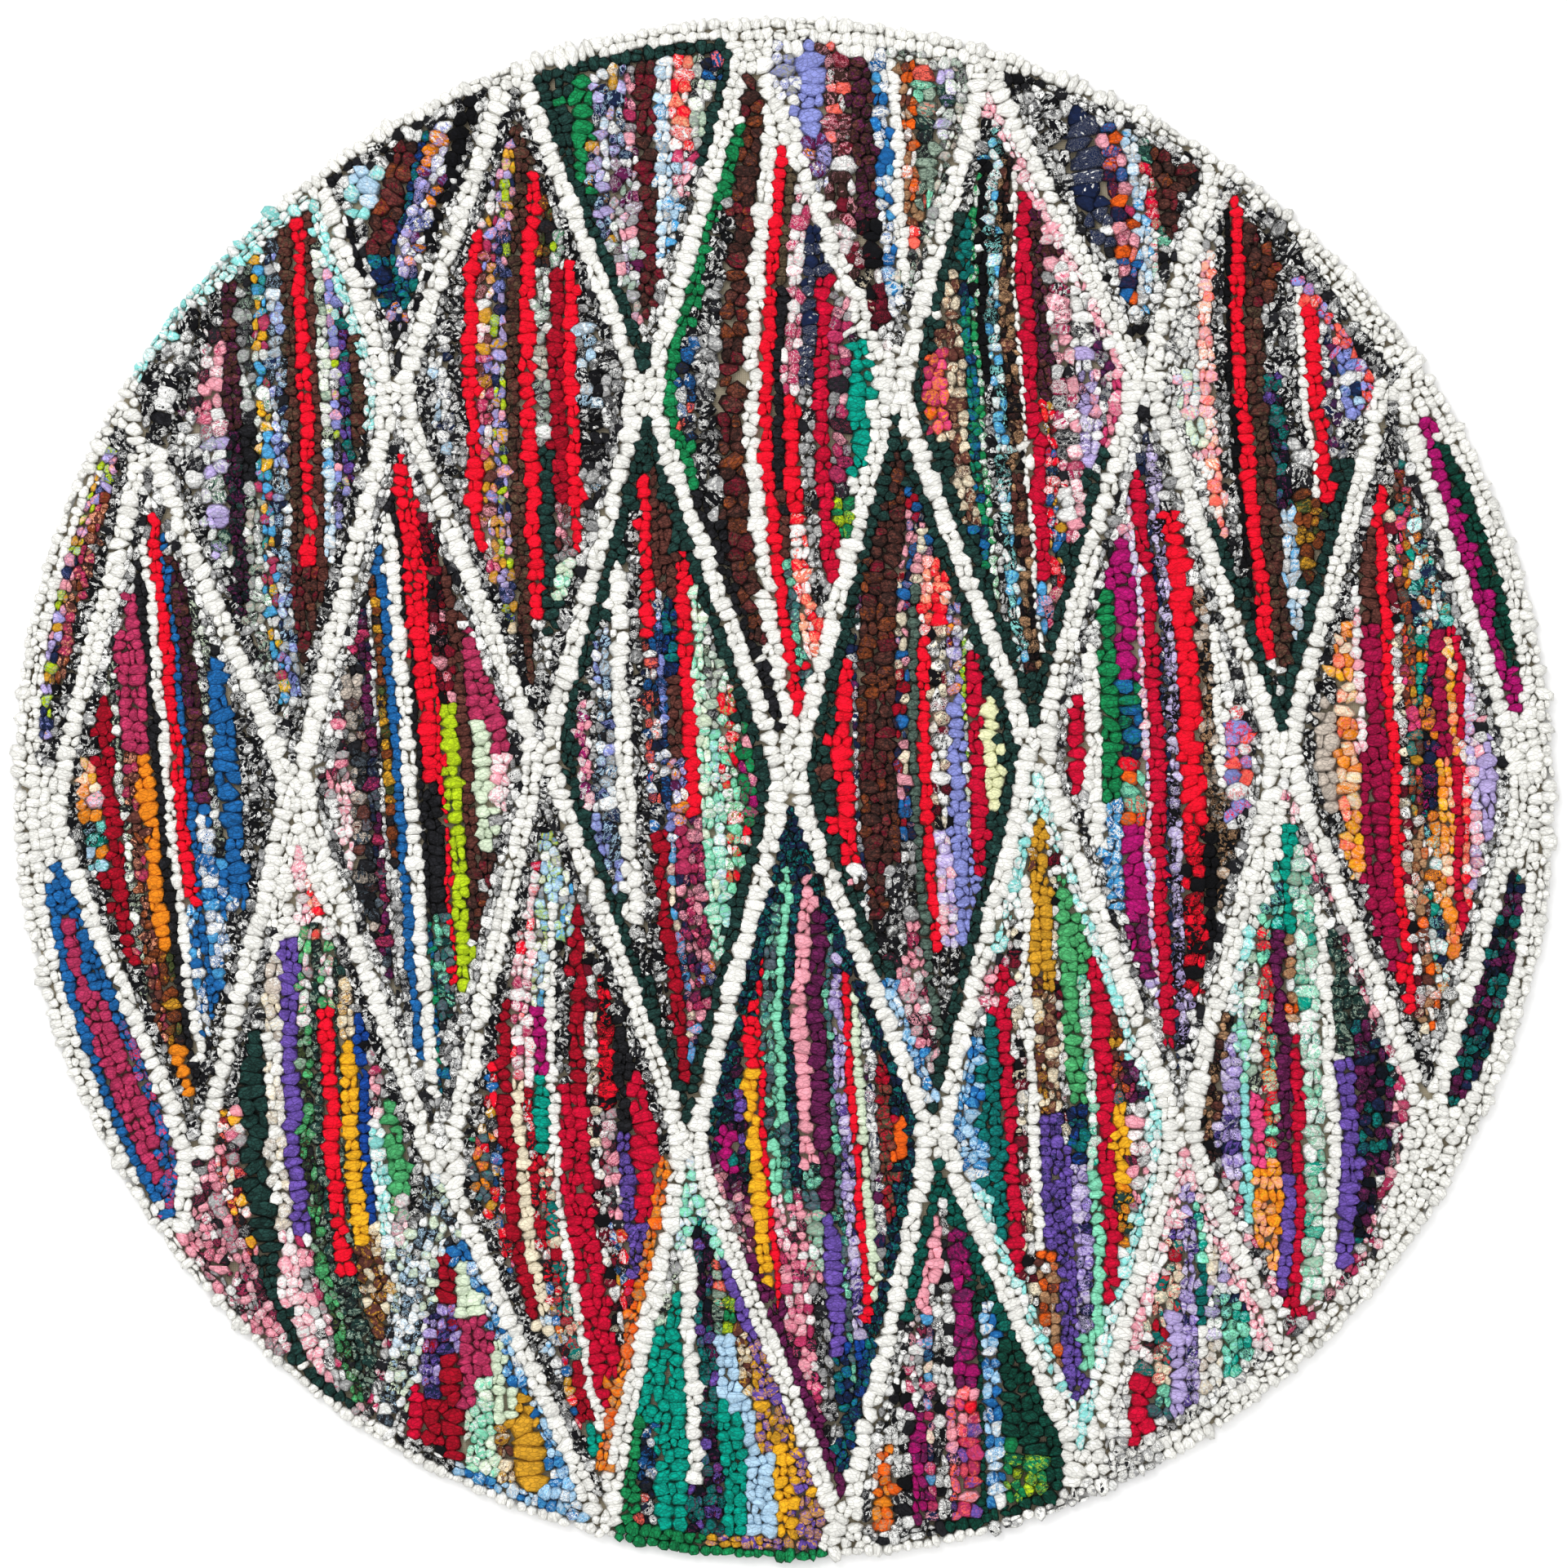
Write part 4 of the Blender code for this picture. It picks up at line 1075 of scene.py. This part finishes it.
def loop_mesh(name, rows, way, reach):
    """All the loops of some rows as one mesh, with the attributes that their material reads."""
    n = len(rows)
    place, own_place, out = loop_points(rows, way, reach)
    points = out.shape[1]
    faces, places = loop_faces()
    sizes = np.array([len(face) for face in faces])
    corners = np.concatenate(faces)
    starts = np.concatenate([[0], np.cumsum(sizes)[:-1]])
    mesh = bpy.data.meshes.new(name)
    mesh.vertices.add(n * points)
    mesh.vertices.foreach_set("co", place.ravel())
    mesh.loops.add(n * len(corners))
    mesh.loops.foreach_set("vertex_index", (np.arange(n)[:, None] * points + corners).ravel())
    mesh.polygons.add(n * len(faces))
    mesh.polygons.foreach_set("loop_start", (np.arange(n)[:, None] * len(corners) + starts).ravel())
    mesh.update(calc_edges=True)

    # Its own map: a small square for each loop, which shows the loop from above
    side = math.ceil(math.sqrt(n))
    tile = np.stack([np.arange(n) % side, np.arange(n) // side], 1)[:, None, :]
    spots = (tile + np.concatenate(places)) / side
    mesh.uv_layers.new(name="OFBake").data.foreach_set("uv", spots.ravel())

    # the painted shade of the seams, and tone, the painted light and shade of the facets
    dyes, share, seam_shade, tone, size = dye_loops(rows)
    shift = random.uniform(0, SHIFT_FAR, (n, 1, 3))
    turn = random.uniform(0, math.pi, (n, 1))
    s, t, h = np.moveaxis(own_place, 2, 0)
    turned = off_row(t, s, turn)
    turned = np.stack([turned[..., 0], turned[..., 1] * STREAK, h], 2)
    layers = {
        "rag": turned / size[:, None, None] + shift,
        "fold": own_place / MM + shift,
        "share": share[:, None],
        # painted shading: the profile's seam value, how dark the seams are painted, and how much the facets
        # are painted lighter or darker
        "painted_shading": np.stack(np.broadcast_arrays(out, seam_shade[:, None], tone[:, None]), 2),
        "dye_a": dyes[0][:, None],
        "dye_b": dyes[1][:, None],
        "dye_c": dyes[2][:, None],
    }
    for layer, values in layers.items():
        values = np.broadcast_to(values, (n, points, 3))
        mesh.attributes.new(layer, "FLOAT_VECTOR", "POINT").data.foreach_set("vector", values.ravel())
    mesh.shade_smooth()
    piece = bpy.data.objects.new(name, mesh)
    bpy.context.scene.collection.objects.link(piece)
    return piece


# Materials

PATCH_EDGE = 0.02  # softness of a patch's edge, in shares of the cloth
THIRD_IN_PATCHES = 0.6  # of what the third dye covers, the share that is patches
LINES_APART = 0.05  # half the change of the noise from one fine line to the next
LINES_WIDE = 0.07  # half a line's width, as a change of the noise, times the share that the third dye covers
LINE_EDGE = 0.005  # softness of a line's edge
EDGE_WIDE = 0.10  # half the width of the lines between facets, in facets, which are painted dark as shade and sunk in the relief
CREASE_WIDE = 0.04  # half the width of a crease, as a change of its noise
PAINTED_SEAM_SHADE_FROM = 0.89  # the profile's seam value from which a loop is painted darker towards its seam, as painted shade
PAINTED_FACET_LIGHT_MIDDLE = 0.6  # facets with a lower random value than this are painted darker than the dye as shade, the others lighter as painted light
THREAD_HIGH = 0.06  # relief of the thread, the facets and the lines between them, as shares of the creases'
FACET_HIGH = 1.6
EDGE_DEEP = 0.20
WAVE_REPEAT = 0.314  # a wave texture of scale 1 repeats after this many metres


class Tree:
    """A material's nodes, added one after another."""

    def __init__(self, name):
        self.material = bpy.data.materials.new(name)
        self.material.use_nodes = True
        self.nodes = self.material.node_tree.nodes
        self.links = self.material.node_tree.links
        self.shader = self.nodes["Principled BSDF"]

    def add(self, kind, settings=None, **inputs):
        """A node with its settings, and its inputs as numbers or as other nodes' outputs."""
        made = self.nodes.new("ShaderNode" + kind)
        for key, value in (settings or {}).items():
            setattr(made, key, value)
        for key, value in inputs.items():
            socket = made.inputs[int(key[1:])] if key[0] == "_" else made.inputs[key]
            self.put(socket, value)
        return made

    def put(self, socket, value):
        """Sets a socket, or links it to another node's output."""
        if isinstance(value, bpy.types.NodeSocket):
            self.links.new(value, socket)
        else:
            socket.default_value = value

    def math(self, operation, first, second=0.0, third=0.0):
        """The output of one sum."""
        made = self.add("Math", {"operation": operation})
        for socket, value in zip(made.inputs, (first, second, third)):
            self.put(socket, value)
        return made.outputs[0]

    def times(self, first, second):
        """One number times another."""
        return self.math("MULTIPLY", first, second)

    def minus(self, first, second):
        """One number less another."""
        return self.math("SUBTRACT", first, second)

    def vector(self, operation, first, second=None, scale=None):
        """The output of one sum of vectors."""
        made = self.add("VectorMath", {"operation": operation})
        self.put(made.inputs[0], first)
        if second is not None:
            self.put(made.inputs[1], second)
        if scale is not None:
            self.put(made.inputs["Scale"], scale)
        return made.outputs[0]

    def ramp(self, value, low, high):
        """0 at the first level and 1 at the second, straight between them and level past them."""
        return self.add("MapRange", {"clamp": True}, _0=value, _1=low, _2=high).outputs[0]

    def mix(self, factor, first, second):
        """A colour between two."""
        return self.add("Mix", {"data_type": "RGBA"}, _0=factor, _6=first, _7=second).outputs[2]

    def attribute(self, name):
        """A layer of the mesh."""
        return self.add("Attribute", {"attribute_name": name}).outputs["Vector"]


def rag_material():
    """Cut cotton rag: facets of crumpled cloth, patches and fine lines of print in up to three dyes, creases
    from end to end of the loop, painted shade in the creases, between facets and at the seams where it meets
    its neighbours, painted light and shade on the facets, and a fine thread."""
    tree = Tree("cut cotton rag")
    rag = tree.attribute("rag")
    here = tree.attribute("fold")
    # share: what the second and the third dye cover, and how dark the folds and creases are painted as shade
    share = tree.add("SeparateXYZ", Vector=tree.attribute("share"))
    # painted shading of the loop: its seam value, how dark its seams are painted, and how much its facets are
    # painted lighter or darker
    painted_shading = tree.add("SeparateXYZ", Vector=tree.attribute("painted_shading"))

    # Patches
    warp = tree.add("TexNoise", Vector=rag, Scale=1.2, Detail=2.0).outputs["Color"]
    warped = tree.vector("ADD", rag, tree.vector("SCALE", warp, scale=0.8))
    cells = tree.add("TexVoronoi", Vector=warped, Scale=1.0)
    tone = tree.add("SeparateColor", Color=cells.outputs["Color"]).outputs[0]
    past_second = tree.minus(tone, share.outputs[0])
    first = tree.ramp(past_second, -PATCH_EDGE, PATCH_EDGE)
    colour = tree.mix(first, tree.attribute("dye_b"), tree.attribute("dye_a"))
    past_first = tree.minus(1.0, tree.times(share.outputs[1], THIRD_IN_PATCHES))
    third = tree.ramp(tree.minus(tone, past_first), -PATCH_EDGE, PATCH_EDGE)
    colour = tree.mix(third, colour, tree.attribute("dye_c"))

    # Fine lines, along the levels of a noise
    scrawl = tree.add("TexNoise", Vector=here, Scale=0.30, Detail=1.5, Roughness=0.55).outputs[0]
    level = tree.math("PINGPONG", scrawl, LINES_APART)
    width = tree.times(share.outputs[1], LINES_WIDE)
    line = tree.ramp(tree.minus(level, width), LINE_EDGE, -LINE_EDGE)
    colour = tree.mix(line, colour, tree.attribute("dye_c"))

    # Facets and creases
    bent = tree.vector("ADD", here, tree.vector("SCALE", warp, scale=1.5))
    grid = tree.add("Mapping", Vector=bent, Scale=(0.20, 0.34, 0.30)).outputs[0]
    facets = tree.add("TexVoronoi", Vector=grid, Scale=1.0)
    # each facet's random value, which picks its painted light or shade
    facet_light = tree.add("SeparateColor", Color=facets.outputs["Color"]).outputs[0]
    slant = tree.vector("SUBTRACT", facets.outputs["Color"], (0.5, 0.5, 0.5))
    across = tree.vector("SUBTRACT", grid, facets.outputs["Position"])
    tilt = tree.add("VectorMath", {"operation": "DOT_PRODUCT"}, _0=slant, _1=across).outputs["Value"]
    edge = tree.add("TexVoronoi", {"feature": "DISTANCE_TO_EDGE"}, Vector=grid, Scale=1.0).outputs["Distance"]
    edge = tree.ramp(edge, EDGE_WIDE, 0.0)
    creases = tree.add("Mapping", Vector=here, Scale=(0.11, 0.34, 0.30)).outputs[0]
    crease = tree.add("TexNoise", Vector=creases, Scale=1.0, Detail=2.5).outputs[0]
    off_crease = tree.math("ABSOLUTE", tree.minus(crease, 0.5))
    crease_shade = tree.ramp(off_crease, CREASE_WIDE, 0.0)

    # Painted light and shade: seams, creases and lines between facets darker, facets lighter or darker
    # Painted shade: each loop painted darker towards the seams where it meets its neighbours
    seam_shade = tree.ramp(painted_shading.outputs[0], PAINTED_SEAM_SHADE_FROM, 1.0)
    seam_shade = tree.times(tree.times(seam_shade, seam_shade), painted_shading.outputs[1])
    # Painted shade: creases and the lines between facets painted darker
    dark = tree.times(tree.math("MAXIMUM", crease_shade, edge), share.outputs[2])
    lit = tree.times(tree.minus(1.0, seam_shade), tree.minus(1.0, dark))
    # Painted light and shade: each facet of crumpled cloth painted lighter or darker, as light would fall on
    # it at its own slant
    shift = tree.times(tree.minus(facet_light, PAINTED_FACET_LIGHT_MIDDLE), painted_shading.outputs[2])
    lit = tree.times(lit, tree.math("ADD", 1.0, shift))
    tree.put(tree.shader.inputs["Base Color"], tree.vector("SCALE", colour, scale=lit))

    # Relief
    place = tree.add("TexCoord").outputs["Object"]
    thread = tree.add("TexNoise", Vector=place, Scale=1700.0, Detail=1.0).outputs[0]
    height = tree.math("MULTIPLY_ADD", crease, 1.0, tree.times(thread, THREAD_HIGH))
    height = tree.math("MULTIPLY_ADD", tilt, FACET_HIGH, height)
    height = tree.math("MULTIPLY_ADD", edge, -EDGE_DEEP, height)
    bump = tree.add("Bump", Strength=1.0, Distance=0.0014, Height=height)
    tree.put(tree.shader.inputs["Normal"], bump.outputs[0])
    tree.put(tree.shader.inputs["Roughness"], 0.88)
    tree.put(tree.shader.inputs["Specular IOR Level"], 0.10)
    tree.put(tree.shader.inputs["Sheen Weight"], 0.02)
    return tree.material


def canvas_material():
    """Plain woven cotton canvas: two sets of threads, each passing over and under the other."""
    tree = Tree("cotton canvas")
    place = tree.add("TexCoord").outputs["Object"]
    scale = WAVE_REPEAT / CANVAS_THREAD
    across, along = (
        tree.add("TexWave", {"bands_direction": way}, Vector=place, Scale=scale, Distortion=0.6).outputs[1]
        for way in ("X", "Y")
    )
    weave = tree.times(across, along)
    slubs = tree.add("TexNoise", Vector=place, Scale=60.0, Detail=3.0).outputs[0]
    light = tree.math("MULTIPLY_ADD", slubs, 0.5, tree.times(weave, 0.5))
    colour = tree.mix(light, (*linear(CANVAS_DARK), 1), (*linear(CANVAS_LIGHT), 1))
    tree.put(tree.shader.inputs["Base Color"], colour)
    bump = tree.add("Bump", Strength=0.5, Distance=0.0005, Height=weave)
    tree.put(tree.shader.inputs["Normal"], bump.outputs[0])
    tree.put(tree.shader.inputs["Roughness"], 0.92)
    return tree.material


def floor_material():
    """Smooth matt white."""
    tree = Tree("white floor")
    tree.put(tree.shader.inputs["Base Color"], FLOOR_WHITE)
    tree.put(tree.shader.inputs["Roughness"], 0.9)
    return tree.material


# Pieces


def surface_piece(name, points, faces, material):
    """A mesh object from points and faces."""
    mesh = bpy.data.meshes.new(name)
    mesh.from_pydata(points, [], faces)
    mesh.materials.append(material)
    piece = bpy.data.objects.new(name, mesh)
    bpy.context.scene.collection.objects.link(piece)
    return piece


def canvas_disc():
    """The ground cloth: rings of points from the middle of the underside out to the rim, up, and back to the
    middle of the face, closed by a point at each middle."""
    sides, rings = CANVAS_SIDES, CANVAS_RINGS
    angles = np.arange(sides) * 2 * math.pi / sides
    shares = np.linspace(0, 1, rings + 1)[1:]
    share = np.concatenate([shares, shares[::-1]])[:, None]
    level = np.repeat([0.0, CANVAS_THICK], rings)[:, None]
    radius = share * (rim_radius(angles) - CANVAS_INSET)
    grid = np.stack([radius * np.cos(angles), radius * np.sin(angles), level + 0 * radius], 2).reshape(-1, 3)
    points = np.concatenate([grid, [[0, 0, 0], [0, 0, CANVAS_THICK]]])
    k = np.arange(2 * rings - 1)[:, None] * sides
    j = np.arange(sides)
    after = (j + 1) % sides
    quads = np.stack([k + j, k + after, k + sides + after, k + sides + j], 2).reshape(-1, 4)
    under = len(grid)
    top = (2 * rings - 1) * sides
    faces = quads.tolist()
    faces += [[under, int(b), int(a)] for a, b in zip(j, after)]
    faces += [[under + 1, int(top + a), int(top + b)] for a, b in zip(j, after)]
    return surface_piece("ground_cloth", points.tolist(), faces, canvas_material())


def area_light(name, size, power, place):
    """A soft square light that looks at the middle of the rug."""
    light = bpy.data.lights.new(name, "AREA")
    light.size = size
    light.energy = power
    lamp = bpy.data.objects.new(name, light)
    lamp.location = place
    lamp.rotation_euler = (-Vector(place)).to_track_quat("-Z", "Y").to_euler()
    bpy.context.scene.collection.objects.link(lamp)


def overhead_camera():
    """A camera straight above the rug, with the rug's middle a little below the picture's."""
    lens = bpy.data.cameras.new("camera")
    lens.sensor_width = 36.0
    lens.lens = CAMERA_HEIGHT * lens.sensor_width / VIEW_WIDTH
    lens.clip_end = 50.0
    camera = bpy.data.objects.new("camera", lens)
    camera.location = (*VIEW_MIDDLE, CAMERA_HEIGHT)
    bpy.context.scene.collection.objects.link(camera)
    bpy.context.scene.camera = camera


def studio():
    """A white floor, an even white sky and one large soft lamp."""
    corners = [(x * FLOOR_HALF, y * FLOOR_HALF, -FLOOR_GAP) for x, y in ((-1, -1), (1, -1), (1, 1), (-1, 1))]
    surface_piece("floor", corners, [[0, 1, 2, 3]], floor_material())
    world = bpy.data.worlds.new("even white sky")
    world.use_nodes = True
    world.node_tree.nodes["Background"].inputs["Color"].default_value = (1, 1, 1, 1)
    world.node_tree.nodes["Background"].inputs["Strength"].default_value = SKY
    bpy.context.scene.world = world
    area_light("key lamp", LAMP_SIZE, LAMP_POWER, LAMP_PLACE)
    bpy.context.scene.view_settings.view_transform = "Standard"


def main():
    """Lays every row, makes the pieces and dresses the scene."""
    overhead_camera()
    studio()
    canvas = canvas_disc()
    rows = {"border_loops": border_rows(), "trellis_loops": trellis_rows()}
    for (level, number), corners in diamonds().items():
        mine = rows.setdefault(level + "_loops", [])
        if (level, number) in DIAMONDS:
            first, lean, *sides, plan = DIAMONDS[level, number]
            mine += outline_rows(corners, sides)
            mine += rim_rings(corners, [(OUTLINE, None)], sides)
            mine += field_rows(corners, first, lean, sides, plan)
        elif (level, number) in SIDES:
            *sides, rings = SIDES[level, number]
            mine += outline_rows(corners, sides)
            mine += rim_rings(corners, [(width * MM, cloth) for width, cloth in rings], margin=OUTLINE)
    rows = {name: split(np.concatenate(found)) for name, found in rows.items()}
    every = np.concatenate(list(rows.values()))
    owner = np.repeat(np.arange(len(rows)), [len(found) for found in rows.values()])
    extra, chosen = fillers(every)
    every = np.concatenate([every, extra])
    owner = np.concatenate([owner, owner[chosen]])
    every = stray(every)
    way, reach = outlines(every)
    rag = rag_material()
    loops = []
    for number, name in enumerate(rows):
        for side, sign in (("left", -1), ("right", 1)):
            mine = (owner == number) & (every[:, 0] * sign >= 0)
            piece = loop_mesh(f"{name}_{side}", every[mine], way[mine], reach[mine])
            piece.data.materials.append(rag)
            loops.append(piece)
    for piece in [canvas, *loops]:
        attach(piece, "root")
    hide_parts("rug")


main()
